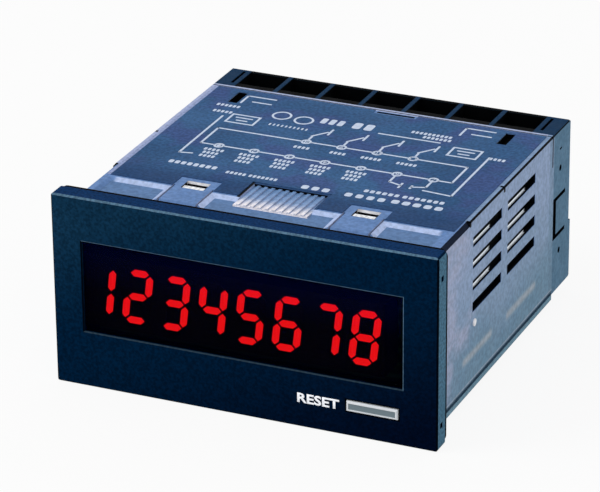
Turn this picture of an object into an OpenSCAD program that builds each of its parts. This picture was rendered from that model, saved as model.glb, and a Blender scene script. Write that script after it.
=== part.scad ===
// Panel counter, 72 x 36 mm front, for flush mounting in a panel cut-out.
// The origin is the centre of the panel seat: +Y goes back into the panel, +Z is up.

/* [Front bezel] */
// Width of the bezel
bezel_w = 72; // [66:0.5:84]
// Height of the bezel
bezel_h = 36; // [33:0.5:44]
// Thickness of the bezel flange
bezel_t = 3.5; // [3:0.1:5]
// Radius of the bezel corners
bezel_corner_r = 0.6; // [0.2:0.1:1.2]
// Chamfer round the front edge of the bezel
bezel_chamfer = 0.3; // [0.2:0.1:1]
// How far the bezel reaches past the case at each side
flange_side = 2.2; // [1.5:0.1:3]
// How far the bezel reaches past the case at the top
flange_top = 2; // [1.5:0.1:3]
// How far the bezel reaches past the case at the bottom
flange_bottom = 1.5; // [1.2:0.1:2.5]
// Distance of the side nicks from the top and bottom edges
nick_inset = 4.4; // [3:0.1:6]
// Side length of a nick
nick_size = 1; // [0.6:0.1:1.4]
// Thickness of the panel gasket
gasket_t = 0.7; // [0.5:0.1:1]
// How far the gasket stays inside the bezel outline
gasket_inset = 0.05; // [0.05:0.05:0.5]
// Radius of the gasket corners
gasket_corner_r = 1.4; // [0.8:0.1:2]

/* [Window] */
// Width of the bezel left of the window
window_left = 5.4; // [5.4:0.1:7]
// Width of the bezel right of the window
window_right = 6.2; // [5.4:0.1:8]
// Height of the bezel above the window
window_above = 8.05; // [6.5:0.05:9.5]
// Height of the bezel below the window
window_below = 10.35; // [10.2:0.05:11.5]
// Thickness of the bezel round the window
window_lip_t = 0.8; // [0.6:0.05:1]
// Bevel of the window opening
window_bevel = 0.25; // [0.2:0.05:0.6]
// Depth of the lens face behind the bezel face
lens_recess = 0.25; // [0.1:0.05:0.4]
// Gap round the lens
lens_gap = 0.12; // [0.05:0.01:0.3]
// How far the rim of the lens reaches behind the bezel
lens_rim = 0.6; // [0.5:0.1:1]
// Thickness of the lens rim
lens_rim_t = 0.5; // [0.3:0.05:0.7]

/* [Digits] */
// How far the digit blocks reach past the left edge of the window
digits_reach = 0.5; // [0:0.1:0.5]
// Distance of the digit blocks from the right edge of the window
digits_spare = 4.1; // [0:0.1:6]
// How far the digits lie below the middle of the window
digits_drop = 0.85; // [0:0.05:1.2]
// Height of a digit
digit_h = 10.3; // [9:0.1:11]
// Width of a digit, without its slant
digit_w = 5.2; // [4:0.1:5.6]
// Slant of the digits in degrees
digit_slant = 7; // [0:0.5:10]
// Width of a segment
segment_w = 1.25; // [1:0.05:1.5]
// Gap between segments
segment_gap = 0.3; // [0.1:0.05:0.4]
// Thickness of the segment windows
segment_t = 0.15; // [0.1:0.05:0.2]
// Clearance between the lens and the segment windows
segment_clear = 0.1; // [0.05:0.05:0.3]
// Height of a digit block
module_h = 13.6; // [12.5:0.1:14.5]
// Depth of a digit block
module_d = 6; // [5:0.1:7.5]

/* [Reset key] */
// Width of the key
key_w = 9.4; // [7:0.1:10]
// Height of the key
key_h = 1.9; // [1.6:0.1:2.2]
// Distance of the key centre from the right edge of the bezel
key_right = 11.9; // [11.5:0.1:20]
// Height of the key centre above the bottom edge of the bezel
key_rise = 5.8; // [5.5:0.1:6.5]
// How far the key stands out of the bezel
key_proud = 0.35; // [0.1:0.05:0.6]
// Bevel of the rim of the key
key_bevel = 0.2; // [0.1:0.05:0.4]
// Depth of the dish in the face of the key
key_dish = 0.1; // [0.05:0.05:0.2]
// Travel of the key
key_travel = 0.5; // [0.3:0.05:0.6]
// Gap round the key
key_gap = 0.2; // [0.15:0.05:0.3]
// Diameter of the switch plunger
plunger_d = 1.6; // [1.4:0.1:2]

/* [Case] */
// Length of the case behind the panel seat
case_l = 57.8; // [54:0.1:70]
// Thickness of the side walls
case_wall = 1.2; // [1:0.1:1.5]
// Thickness of the top and bottom walls
case_roof = 1.6; // [1.4:0.1:1.8]
// Chamfer of the top edges
case_chamfer = 0.3; // [0.3:0.1:1]
// Chamfer of the top edges at the front of the case
edge_chamfer = 0.75; // [0.6:0.05:1.8]
// Length of the wider chamfer behind the panel seat
edge_l = 15.7; // [14:0.1:17]
// Distance between the nicks in the top edges
edge_nick_pitch = 16.4; // [12:0.1:20]
// Length of a nick in the top edges
edge_nick_l = 0.7; // [0.4:0.1:1]
// Height of the rail along the bottom edges
rail_h = 1; // [0.8:0.1:1.2]
// Depth of the groove above the bottom rails
rail_groove = 0.4; // [0.2:0.05:0.6]
// Height of the groove above the bottom rails
rail_groove_h = 0.7; // [0.5:0.1:1.2]
// Clearance of a piece that slides into the case
slide_gap = 0.15; // [0.1:0.05:0.25]

/* [Vents] */
// Length of a vent slot
vent_l = 13.9; // [8:0.1:15]
// Height of a vent slot
vent_h = 1.9; // [1.2:0.1:2.4]
// Distance between vent rows
vent_pitch = 4.1; // [3:0.1:4.4]
// Distance between the two vent columns
vent_gap = 2.9; // [2:0.1:4]
// Place of the front end of the vents behind the panel seat
vent_y = 17.4; // [16:0.1:19]
// Distance of the middle of the top vent row below the roof
vent_drop = 4.35; // [4:0.05:6]
// Rows of vents
vent_rows = 4; // [2:1:4]
// Thickness of the side walls round the vents
vent_wall = 0.7; // [0.6:0.1:1]
// How far the thinner wall reaches round the vents
vent_margin = 1.2; // [0.8:0.1:1.5]
// Diameter of the moulding dot under the vents
dot_d = 1.4; // [0.6:0.1:1.6]
// Distance of the moulding dot below the lowest vent row
dot_drop = 3.05; // [2.5:0.05:4]
// How far the moulding dot stands out
dot_proud = 0.25; // [0.1:0.05:0.4]

/* [Latches and front steps] */
// Half the distance between the two latch tongues
tongue_x = 16.1; // [14:0.1:17]
// Width of a latch tongue
tongue_w = 7; // [6:0.1:7.5]
// Length of a latch tongue behind the panel seat
tongue_l = 14.6; // [13.5:0.1:16]
// Width of the slits beside a tongue
tongue_slit = 0.4; // [0.3:0.05:0.6]
// How far the slits reach behind the front steps
slit_over = 1; // [0.5:0.1:1.5]
// Front end of the ramp on a tongue behind the panel seat
ramp_y = 4.4; // [3:0.1:6]
// Length of the ramp on a tongue
ramp_l = 0.6; // [0.4:0.1:3]
// Wall behind a catch window
tongue_tip = 0.6; // [0.4:0.1:1]
// Width of the catch window in a tongue
catch_w = 4.4; // [3:0.1:5]
// Length of the catch window in a tongue
catch_l = 3.2; // [2.4:0.1:3.6]
// Clearance round a catch in its window
catch_gap = 0.2; // [0.1:0.05:0.3]
// Rear edge of the front steps behind the panel seat
step_l = 10.7; // [9:0.1:12]
// Depth of the front steps
step_depth = 0.5; // [0.3:0.05:0.7]
// Width of the slope round a front step
step_slope = 1; // [0.8:0.1:1.6]
// Width of the land at the outer end of the front steps
step_edge = 1.15; // [0.3:0.05:1.2]
// Width of the ribbed pad
pad_w = 14; // [10:0.1:16]
// Front edge of the ribbed pad behind the panel seat
pad_y = 7.9; // [7:0.1:9]
// Length of the ribbed pad
pad_l = 9.3; // [7:0.1:10]
// Depth of the ribbed pad at its rear edge
pad_depth = 0.5; // [0.5:0.05:0.9]
// Distance between the ribs of the pad
pad_rib_pitch = 1.35; // [1.2:0.05:2.4]
// Width of a rib of the pad
pad_rib_w = 0.6; // [0.4:0.1:0.9]
// Height of a rib of the pad
pad_rib_h = 0.25; // [0.15:0.05:0.35]

/* [Rear of the case] */
// Distance of the rear latch slots from the sides of the case
rear_slot_inset = 7.4; // [6:0.1:9]
// Width of a rear latch slot
rear_slot_w = 1.9; // [1.4:0.1:2.4]
// Length of a rear latch slot
rear_slot_l = 5.4; // [4:0.1:6]
// Distance of the rear latch slots from the rear edge
rear_slot_y = 2.4; // [2:0.1:3]
// Width of the pry notch
pry_w = 7.4; // [5:0.1:9]
// Length of the pry notch
pry_l = 0.7; // [0.5:0.1:1]
// Distance of the pry notch from the rear edge
pry_y = 1.4; // [1.3:0.1:1.5]
// Thickness of the printed film
label_t = 0.12; // [0.08:0.01:0.2]
// Land between the film and the openings of the roof
label_edge = 0.5; // [0.3:0.05:0.8]
// Distance of the film from the sides of the case
label_side = 1.1; // [1:0.05:2]
// Land between the film and the rear edge of the case
label_rear = 1.2; // [1:0.05:1.3]
// Width of the lip at the rear edge of the roof
lip_w = 0.5; // [0.3:0.05:0.6]
// Width of the groove in front of that lip
groove_w = 0.35; // [0.2:0.05:0.5]
// Depth of the groove
groove_depth = 0.3; // [0.1:0.05:0.5]

/* [Terminal block] */
// Depth of the terminal block behind the case
block_d = 8.5; // [8:0.1:11]
// How much further back the lower half reaches
block_step = 0.8; // [0.4:0.1:1.2]
// How far the bottom of the block lies above that of the case
block_lift = 1; // [0.6:0.1:1.4]
// Chamfer of the rear edges of the block
block_chamfer = 0.3; // [0.2:0.1:0.8]
// Thickness of the front wall of the bays
bay_front_t = 1.5; // [1.3:0.1:2]
// Thickness of the rear wall of the bays
bay_rear_t = 0.9; // [0.7:0.1:1.1]
// Width of the block outside the end ribs
bay_end = 3.4; // [3:0.05:4]
// Thickness of the ribs between the bays
bay_rib = 0.9; // [0.7:0.05:1.1]
// Height of a bay
bay_h = 11.4; // [11:0.1:11.8]
// Terminals in a row
bay_count = 7; // [5:1:7]
// Width of the slit beside the end ribs
end_slit = 0.6; // [0.4:0.05:0.8]
// Height of the side latch
latch_h = 6.6; // [5:0.1:7]
// Width of the slots above and below the side latch
latch_slot = 0.8; // [0.3:0.05:1]
// How far the slot in front of the side latch reaches past the front wall of the bays
latch_gap = 0.1; // [0.1:0.05:0.5]
// Length of the slots above and below the side latch
latch_l = 6.4; // [5:0.1:6.6]
// How far the side latch lies below the middle of the block
latch_drop = 1; // [0:0.1:1.5]
// Diameter of the pin holes
pin_hole_d = 1.2; // [0.6:0.1:1.4]
// Distance of the pin holes behind the case
pin_hole_y = 3.5; // [2.5:0.1:5]
// Depth of the pin holes
pin_hole_depth = 1; // [0.5:0.1:1.5]
// Length of the slot near the top of each side
side_slot_l = 1.2; // [0.8:0.1:2]
// Height of that slot
side_slot_h = 0.35; // [0.25:0.05:0.6]
// Distance of that slot below the roof
side_slot_drop = 3.8; // [3:0.1:5]
// Length of the plug of the block inside the case
plug_l = 3; // [2.5:0.1:4]
// Thickness of the plug and of the bezel skirt
skirt_t = 1.2; // [1:0.1:1.4]

/* [Terminals] */
// Diameter of the screw heads
head_d = 5.6; // [5:0.1:6]
// Height of the screw heads
head_h = 2; // [1.6:0.1:2.2]
// Diameter of the screw shanks
shank_d = 2.9; // [2.5:0.1:3]
// Width of the square clamp washers
washer_w = 6.2; // [5.8:0.1:6.4]
// Thickness of washers and terminal plates
plate_t = 0.8; // [0.6:0.05:0.9]
// Gap between a terminal plate and the ribs
plate_gap = 0.5; // [0.3:0.05:0.7]
// How far a terminal plate reaches past its screw
plate_reach = 3.3; // [3.1:0.05:3.3]
// Width and height of the tail of a terminal plate
tail_w = 1.2; // [0.8:0.1:1.5]
// Clearance round a tail
tail_gap = 0.1; // [0.05:0.05:0.2]
// How far a tail stands out of the terminal board
tail_stub = 0.6; // [0.3:0.1:1]
// Distance of the screws from the open end of the bay
screw_depth = 7.6; // [7.4:0.1:7.8]
// Diameter of the driver holes in the rear wall
driver_d = 6.2; // [5.8:0.1:6.6]
// Radial clearance of the screws in the plates
screw_gap = 0.1; // [0.05:0.01:0.15]

/* [Boards] */
// Thickness of the boards
board_t = 1.2; // [1:0.1:1.6]
// Height of the top of the main board above the bottom of the case
main_rise = 14.1; // [13:0.1:15]
// Clearance between boards
board_gap = 0.2; // [0.1:0.05:0.3]
// Width and height of the guide rails
guide_w = 1.2; // [1:0.1:1.5]
// Distance of the side board from the case wall
side_board_gap = 1.6; // [1.2:0.1:2.5]
// How far the side board reaches in front of the vents
side_board_front = 2; // [1:0.1:4]
// Clearance between the side board and the roof
side_board_clear = 2.2; // [1:0.1:4]

/* [Components] */
// Width of the transformer core
core_w = 18; // [14:0.5:20]
// Clearance between the transformer core and the roof
core_clear = 2.8; // [1:0.1:4]
// Length of the transformer core
core_l = 9; // [8:0.5:12]
// Width of the legs of the core
core_leg = 3.2; // [2.5:0.1:3.4]
// Sideways place of the transformer
core_x = -8; // [-12:0.5:-6]
// Front of the transformer core behind the panel seat
core_y = 34; // [30:0.5:36]
// How far the coil stands out of the core
coil_over = 3; // [2:0.1:4]
// Clearance of the coil in the core
coil_gap = 0.2; // [0.1:0.05:0.3]
// Diameter of the filter capacitors
cap_d = 8; // [6:0.5:9]
// Height of the filter capacitors
cap_h = 11.5; // [9:0.5:12]
// Sideways place of the capacitors
cap_x = 14; // [10:0.5:18]
// Place of the first capacitor behind the panel seat
cap_y = 13; // [12:0.5:15]
// Distance between the capacitors
cap_pitch = 11; // [9.5:0.5:13]
// Width of the controller chip
chip_w = 12; // [10:0.5:14]
// Thickness of the controller chip
chip_t = 2; // [1:0.1:3]
// Sideways place of the chip
chip_x = -14; // [-20:0.5:-8]
// Place of the chip behind the panel seat
chip_y = 18; // [15:0.5:20]
// Distance between the leads of the chip
lead_pitch = 1; // [0.8:0.05:1.3]
// Width of a photocoupler
coupler_w = 4.4; // [3.5:0.1:4.8]
// Length of a photocoupler
coupler_l = 6.4; // [5:0.1:7]
// Height of a photocoupler
coupler_h = 3.4; // [2.5:0.1:4]
// Sideways place of the first photocoupler
coupler_x = 8; // [6:0.5:9]
// Distance of the photocouplers from the rear edge of the main board
coupler_rear = 8.8; // [4:0.1:10]
// Distance between the photocouplers
coupler_pitch = 5.2; // [5:0.1:5.6]
// Photocouplers in the row
coupler_count = 4; // [2:1:4]

/* [Hidden] */
$fn = 48;
eps = 0.05;

// Window, key and digits on the bezel
window_w = bezel_w - window_left - window_right;
window_h = bezel_h - window_above - window_below;
window_x = (window_left - window_right) / 2;
window_z = (window_below - window_above) / 2;
lens_rim_w = window_w - 2 * window_bevel + 2 * lens_rim;
lens_rim_h = window_h - 2 * window_bevel + 2 * lens_rim;
key_x = bezel_w / 2 - key_right;
key_z = key_rise - bezel_h / 2;
nick_z = bezel_h / 2 - nick_inset;

// Segments by digit, named a to g clockwise from the top with g in the middle
LIT = ["bc", "abdeg", "abcdg", "bcfg", "acdfg", "acdefg", "abc", "abcdefg"];
SEGMENT_NAMES = "abcdefg";
digit_pitch = (window_w + digits_reach - digits_spare) / len(LIT);
module_w = digit_pitch * len(LIT) / 2;
digits_x = window_x - window_w / 2 - digits_reach + module_w;
digits_z = window_z - digits_drop;
bar_x = (digit_w - segment_w) / 2;
bar_z = (digit_h - segment_w) / 2;
across_l = 2 * bar_x - 2 * segment_gap;
upright_l = bar_z - 2 * segment_gap;

// Planes along Y, from front to rear
flange_y = -gasket_t;
front_y = flange_y - bezel_t;
lens_y = front_y + window_lip_t;
module_y = lens_y + lens_rim_t + segment_clear + segment_t;
display_y = module_y + module_d;
plug_y = case_l - plug_l;
terminal_board_y = plug_y - board_t;
bay_y = case_l + bay_front_t;
block_y = case_l + block_d;
low_block_y = block_y + block_step;

// The case in section
side_x = bezel_w / 2 - flange_side;
roof_z = bezel_h / 2 - flange_top;
floor_z = flange_bottom - bezel_h / 2;
in_x = side_x - case_wall;
in_top = roof_z - case_roof;
in_bottom = floor_z + case_roof;
step_z = roof_z - step_depth;
vent_z = roof_z - vent_drop;
rear_slot_x = side_x - rear_slot_inset;

// What slides into the case: the bezel skirt and the plug of the block
skirt_x = in_x - slide_gap;
skirt_top = in_top - slide_gap;
skirt_bottom = in_bottom + slide_gap;
skirt_lip = 0.8;
skirt_l = display_y + board_t + skirt_lip;
main_y = skirt_l + board_gap;
board_x = skirt_x - skirt_t - slide_gap;
board_top = skirt_top - skirt_t - slide_gap;
board_bottom = skirt_bottom + skirt_t + slide_gap;

// Catches
catch_y = tongue_l - tongue_tip - catch_l;
arm_l = catch_y + catch_l;
arm_w = catch_w - 2 * catch_gap;
rear_slot_front = case_l - rear_slot_y - rear_slot_l;

// The terminal block in section
block_bottom = floor_z + block_lift;
row_w = 2 * side_x - 2 * bay_end;
bay_pitch = (row_w - bay_rib) / bay_count;
bay_w = bay_pitch - bay_rib;
plate_w = bay_w - 2 * plate_gap;
upper_bay_z = roof_z - bay_h;
lower_bay_z = block_bottom + bay_h;
upper_screw_z = roof_z - screw_depth;
lower_screw_z = block_bottom + screw_depth;
latch_z = (upper_bay_z + lower_bay_z) / 2 - latch_drop;
tail_y = terminal_board_y - tail_stub;

// Electronics
main_x = in_x - 2 * slide_gap;
main_z = floor_z + main_rise;
main_rear = tail_y - board_gap;
core_h = in_top - main_z - core_clear;
core_window_w = (core_w - 4 * core_leg) / 2;
switch_w = 6;
switch_h = 3;
switch_low = max(-switch_h / 2, board_bottom - key_z);
switch_d = 2.6;
switch_y = display_y - switch_d;
plunger_l = 0.8;
plunger_y = switch_y - plunger_l;
stem_d = plunger_d + 0.6;
key_lip_t = 1.2;
key_flange = 0.9;
key_flange_t = 0.8;
key_flange_y = front_y + key_lip_t;

function segment_place(name) =
    name == "a" ? [0, bar_z, 0]
    : name == "b" ? [bar_x, bar_z / 2, 90]
    : name == "c" ? [bar_x, -bar_z / 2, 90]
    : name == "d" ? [0, -bar_z, 0]
    : name == "e" ? [-bar_x, -bar_z / 2, 90]
    : name == "f" ? [-bar_x, bar_z / 2, 90]
    : [0, 0, 0];
function is_lit(digit, name) = len(search(name, LIT[digit])) > 0;
function slanted(p) = [p.x + p.y * tan(digit_slant), p.y];
function turned(p, upright) = upright ? [p.y, p.x] : p;
function bar_points(l) = [
    [-l / 2, 0], [-l / 2 + segment_w / 2, segment_w / 2], [l / 2 - segment_w / 2, segment_w / 2],
    [l / 2, 0], [l / 2 - segment_w / 2, -segment_w / 2], [-l / 2 + segment_w / 2, -segment_w / 2]
];
function mirrored(points) = concat(points, [for (i = [len(points) - 1:-1:0]) [-points[i].x, points[i].y]]);
function bay_x(i) = (i - (bay_count - 1) / 2) * bay_pitch;

// A block from its lowest to its highest corner
module block(low, high) {
    translate(low) cube(high - low);
}

// An outline in X and Z, made solid along Y
module along_y(y0, y1) {
    translate([0, y1, 0]) rotate([90, 0, 0]) linear_extrude(y1 - y0) children();
}

// An outline in Y and Z, made solid along X
module along_x(x0, x1) {
    translate([x0, 0, 0]) rotate([90, 0, 90]) linear_extrude(x1 - x0) children();
}

// An outline in X and Y, made solid along Z
module along_z(z0, z1) {
    translate([0, 0, z0]) linear_extrude(z1 - z0) children();
}

// A rectangle between two corners
module rect(low, high) {
    translate(low) square(high - low);
}

// A rectangle with round corners about its centre
module round_rect(w, h, r) {
    square([w - 2 * r, h], center = true);
    square([w, h - 2 * r], center = true);
    for (x = [-1, 1], z = [-1, 1]) translate([x * (w / 2 - r), z * (h / 2 - r)]) circle(r);
}

// A rod along Y
module rod_y(d, y0, y1) {
    along_y(y0, y1) circle(d = d);
}

// A block along Y whose front edges are bevelled
module bevelled_front(w, h, y0, y1, bevel) {
    intersection() {
        along_x(-w / 2, w / 2)
            polygon([[y0, bevel - h / 2], [y0 + bevel, -h / 2], [y1, -h / 2], [y1, h / 2],
                [y0 + bevel, h / 2], [y0, h / 2 - bevel]]);
        along_z(-h / 2, h / 2)
            polygon([[bevel - w / 2, y0], [w / 2 - bevel, y0], [w / 2, y0 + bevel], [w / 2, y1],
                [-w / 2, y1], [-w / 2, y0 + bevel]]);
    }
}

// An opening along Y that narrows behind the bezel face
module bevelled_opening(w, h, y0, y1, bevel) {
    intersection() {
        along_x(-w / 2, w / 2)
            polygon([[y0, -h / 2], [y0 + bevel, bevel - h / 2], [y1, bevel - h / 2], [y1, h / 2 - bevel],
                [y0 + bevel, h / 2 - bevel], [y0, h / 2]]);
        along_z(-h / 2, h / 2)
            polygon([[-w / 2, y0], [w / 2, y0], [w / 2 - bevel, y0 + bevel], [w / 2 - bevel, y1],
                [bevel - w / 2, y1], [bevel - w / 2, y0 + bevel]]);
    }
}

// The frame that a sleeve leaves inside the case
module skirt_outline(inset) {
    rect([-skirt_x + inset, skirt_bottom + inset], [skirt_x - inset, skirt_top - inset]);
}

// A latch arm of the bezel under one tongue, with its catch; side is 1 at the top and -1 at the bottom
module bezel_arm(side) {
    wall_z = side > 0 ? in_top : in_bottom;
    face_z = side > 0 ? skirt_top : skirt_bottom;
    arm_z = face_z - side * skirt_t;
    catch_z = wall_z + side * (case_roof - catch_gap / 2);
    catch_front = catch_y + catch_gap;
    catch_rear = catch_y + catch_l - catch_gap;
    block([-arm_w / 2, skirt_l - 2 * skirt_t, min(arm_z, face_z)], [arm_w / 2, arm_l, max(arm_z, face_z)]);
    along_x(-arm_w / 2, arm_w / 2)
        polygon([[catch_front, arm_z], [catch_front, catch_z], [catch_front + catch_l / 3, catch_z],
            [catch_rear, face_z], [catch_rear, arm_z]]);
}

// The outline of the key, made larger all round
module key_outline(margin) {
    square([key_w + 2 * margin, key_h + 2 * margin], center = true);
}

module front_bezel() {
    corner_post = 3;
    pocket_left = min(window_x - lens_rim_w / 2, digits_x - module_w) - lens_gap;
    pocket_right = max(window_x + lens_rim_w / 2, digits_x + module_w) + lens_gap;
    pocket_low = min(window_z - lens_rim_h / 2, digits_z - module_h / 2) - lens_gap;
    pocket_high = max(window_z + lens_rim_h / 2, digits_z + module_h / 2) + lens_gap;
    color("#12283a") difference() {
        union() {
            intersection() {
                along_y(front_y, flange_y) round_rect(bezel_w, bezel_h, bezel_corner_r);
                bevelled_front(bezel_w, bezel_h, front_y, flange_y, bezel_chamfer);
            }
            along_y(flange_y - eps, skirt_l) difference() {
                skirt_outline(0);
                skirt_outline(skirt_t);
            }
            for (x = [-1, 1], z = [board_bottom, board_top - corner_post])
                block(
                    [x > 0 ? board_x - corner_post : -board_x - slide_gap - eps, flange_y - eps, z],
                    [x > 0 ? board_x + slide_gap + eps : corner_post - board_x, display_y, z + corner_post]
                );
            for (x = [-1, 1], side = [-1, 1]) translate([x * tongue_x, 0, 0]) bezel_arm(side);
        }
        translate([window_x, 0, window_z]) {
            bevelled_opening(window_w, window_h, front_y, flange_y + eps, window_bevel);
            along_y(front_y - eps, front_y + eps) square([window_w, window_h], center = true);
        }
        block([pocket_left, lens_y, pocket_low], [pocket_right, flange_y + eps, pocket_high]);
        translate([key_x, 0, key_z]) {
            along_y(front_y - eps, flange_y + eps) key_outline(key_gap);
            along_y(key_flange_y, flange_y + eps) key_outline(key_flange + key_gap);
        }
        for (x = [-1, 1], z = [-nick_z, nick_z])
            translate([x * bezel_w / 2, (front_y + flange_y) / 2, z]) cube(nick_size, center = true);
    }
}

module display_window() {
    plug_w = window_w - 2 * window_bevel - 2 * lens_gap;
    plug_h = window_h - 2 * window_bevel - 2 * lens_gap;
    color("#0a0a0e", 0.6) translate([window_x, 0, window_z]) {
        bevelled_front(plug_w, plug_h, front_y + lens_recess, lens_y + eps, lens_gap);
        along_y(lens_y, lens_y + lens_rim_t)
            square([lens_rim_w, lens_rim_h], center = true);
    }
}

module reset_key() {
    color("#aab4bc") translate([key_x, 0, key_z]) {
        difference() {
            bevelled_front(key_w, key_h, front_y - key_proud, key_flange_y + eps, key_bevel);
            along_y(front_y - key_proud - eps, front_y - key_proud + key_dish) key_outline(-2 * key_bevel);
        }
        along_y(key_flange_y, key_flange_y + key_flange_t) key_outline(key_flange);
        rod_y(stem_d, key_flange_y + key_flange_t - eps, plunger_y);
    }
}

module panel_gasket() {
    color("#101214") along_y(flange_y, 0) difference() {
        round_rect(bezel_w - 2 * gasket_inset, bezel_h - 2 * gasket_inset, gasket_corner_r);
        rect([-side_x - slide_gap, floor_z - slide_gap], [side_x + slide_gap, roof_z + slide_gap]);
    }
}

// Outer section of the case, with its chamfers at the top and the grooves above its rails at the bottom
module case_section() {
    polygon(mirrored([
        [side_x - case_chamfer, roof_z], [side_x, roof_z - case_chamfer],
        [side_x, floor_z + rail_h + rail_groove_h], [side_x - rail_groove, floor_z + rail_h],
        [side_x, floor_z + rail_h], [side_x, floor_z]
    ]));
}

// A step in the roof at the front, with sloped sides
module front_step(x0, x1) {
    intersection() {
        along_y(flange_y - eps, step_l)
            polygon([[x0, roof_z + eps], [x0, roof_z], [x0 + step_slope, step_z], [x1 - step_slope, step_z],
                [x1, roof_z], [x1, roof_z + eps]]);
        along_x(x0, x1)
            polygon([[flange_y - eps, roof_z + eps], [flange_y - eps, step_z],
                [step_l - step_slope, step_z], [step_l, roof_z], [step_l, roof_z + eps]]);
    }
}

// The cut above a tongue that leaves its front end level with the steps beside it
module tongue_ramp() {
    half_w = tongue_w / 2 + tongue_slit + step_slope;
    along_x(-half_w, half_w)
        polygon([[flange_y - eps, roof_z + eps], [flange_y - eps, step_z], [ramp_y, step_z],
            [ramp_y + ramp_l, roof_z], [ramp_y + ramp_l, roof_z + eps]]);
}

// The wider chamfer of a top edge at the front, and the nicks behind it; side is 1 or -1
module edge_cuts(side) {
    nick_x = case_chamfer + label_edge;
    along_y(flange_y - eps, edge_l)
        polygon([for (p = [[edge_chamfer + eps, eps], [-eps, eps], [-eps, -edge_chamfer - eps]])
            [side * (side_x - p.x), roof_z + p.y]]);
    for (y = [edge_l, edge_l + edge_nick_pitch])
        translate([side * (side_x - nick_x / 2), y + edge_nick_l / 2, roof_z])
            cube([nick_x + eps, edge_nick_l, edge_nick_l], center = true);
}

// The wedge of the ribbed pad under the roof, from its low rear edge to its high front edge
module pad_wedge(raise) {
    polygon([[pad_y, roof_z - case_roof + eps], [pad_y, roof_z - pad_rib_h + raise],
        [pad_y + pad_l, roof_z - pad_depth + raise], [pad_y + pad_l, roof_z - case_roof + eps]]);
}

module ribbed_pad() {
    rib_count = floor((pad_w - pad_rib_w) / pad_rib_pitch);
    along_x(-pad_w / 2, pad_w / 2) pad_wedge(0);
    for (i = [0:rib_count])
        translate([(i - rib_count / 2) * pad_rib_pitch, 0, 0])
            along_x(-pad_rib_w / 2, pad_rib_w / 2) pad_wedge(pad_rib_h);
}

// The slits and the catch window of one tongue, cut through a wall between two heights
module tongue_cuts(z0, z1) {
    for (x = [-1, 1])
        translate([x * (tongue_w + tongue_slit) / 2, 0, 0])
            block([-tongue_slit / 2, flange_y - eps, z0], [tongue_slit / 2, step_l + slit_over, z1]);
    block([-catch_w / 2, catch_y, z0], [catch_w / 2, catch_y + catch_l, z1]);
}

// The vents of both sides, and the pockets that thin the walls round them
module vents() {
    span = 2 * vent_l + vent_gap;
    depth = (vent_rows - 1) * vent_pitch + vent_h;
    pocket_x = side_x - vent_wall;
    top = vent_z + vent_h / 2;
    for (column = [0, 1], row = [0:vent_rows - 1])
        translate([0, vent_y + column * (vent_l + vent_gap), vent_z - row * vent_pitch])
            block([-side_x - eps, 0, -vent_h / 2], [side_x + eps, vent_l, vent_h / 2]);
    block(
        [-pocket_x, vent_y - vent_margin, top - depth - vent_margin],
        [pocket_x, vent_y + span + vent_margin, top + vent_margin]
    );
}

// The outlines of the two rear latch slots
module rear_slots() {
    half_w = rear_slot_w / 2;
    for (x = [-rear_slot_x, rear_slot_x])
        rect([x - half_w, rear_slot_front], [x + half_w, rear_slot_front + rear_slot_l]);
}

module case() {
    step_end = side_x - edge_chamfer - step_edge;
    step_side = tongue_w / 2 + tongue_slit;
    steps = [
        [-step_end, -tongue_x - step_side], [step_side - tongue_x, tongue_x - step_side],
        [tongue_x + step_side, step_end]
    ];
    dot_place = [vent_y + dot_d / 2, vent_z - (vent_rows - 1) * vent_pitch - dot_drop];
    color("#7f95ab") {
        difference() {
            along_y(flange_y, case_l) case_section();
            block([-in_x, flange_y - eps, in_bottom], [in_x, case_l + eps, in_top]);
            for (s = steps) front_step(s[0], s[1]);
            for (side = [-1, 1]) {
                edge_cuts(side);
                translate([side * tongue_x, 0, 0]) {
                    tongue_ramp();
                    for (z = [in_top, floor_z]) tongue_cuts(z - eps, z + case_roof + eps);
                }
            }
            block([-side_x - eps, case_l - lip_w - groove_w, roof_z - groove_depth],
                [side_x + eps, case_l - lip_w, roof_z + eps]);
            along_z(in_top + 2 * eps, roof_z + eps) rect([-pad_w / 2, pad_y], [pad_w / 2, pad_y + pad_l]);
            along_z(in_top - eps, roof_z + eps) rear_slots();
            along_z(roof_z - case_roof / 2, roof_z + eps)
                rect([0, case_l - pry_y - pry_l], [pry_w, case_l - pry_y]);
            vents();
        }
        ribbed_pad();
        for (side = [-1, 1]) {
            for (z = [main_z - board_t - guide_w, main_z + slide_gap])
                block(
                    [side > 0 ? in_x - guide_w : -in_x - eps, main_y, z],
                    [side > 0 ? in_x + eps : guide_w - in_x, main_rear, z + guide_w]
                );
            translate([side * side_x, dot_place.x, dot_place.y])
                rotate([0, 90, 0]) cylinder(d = dot_d, h = 2 * dot_proud, center = true);
        }
    }
}

module diagram_label() {
    notch_x = tongue_w / 2 + tongue_slit;
    label_x = side_x - max(label_side, edge_chamfer);
    color("#32527a") along_z(roof_z, roof_z + label_t) difference() {
        rect([-label_x, step_l + label_edge], [label_x, case_l - label_rear]);
        for (x = [-tongue_x, tongue_x]) rect([x - notch_x, 0], [x + notch_x, tongue_l + label_edge]);
        rect([-pad_w / 2 - label_edge, 0], [pad_w / 2 + label_edge, pad_y + pad_l + label_edge]);
        rear_slots();
        rect([-label_edge, case_l - pry_y - pry_l - label_edge], [pry_w + label_edge, case_l]);
    }
}

// One row of bays between two heights, open at the end that lies outside
module bay_row(z0, z1, y1) {
    for (i = [0:bay_count - 1])
        block([bay_x(i) - bay_w / 2, bay_y, z0], [bay_x(i) + bay_w / 2, y1 - bay_rear_t, z1]);
    for (side = [-1, 1])
        translate([side * (row_w + end_slit) / 2, 0, 0])
            block([-end_slit / 2, bay_y, z0], [end_slit / 2, y1 - bay_rear_t, z1]);
}

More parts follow.
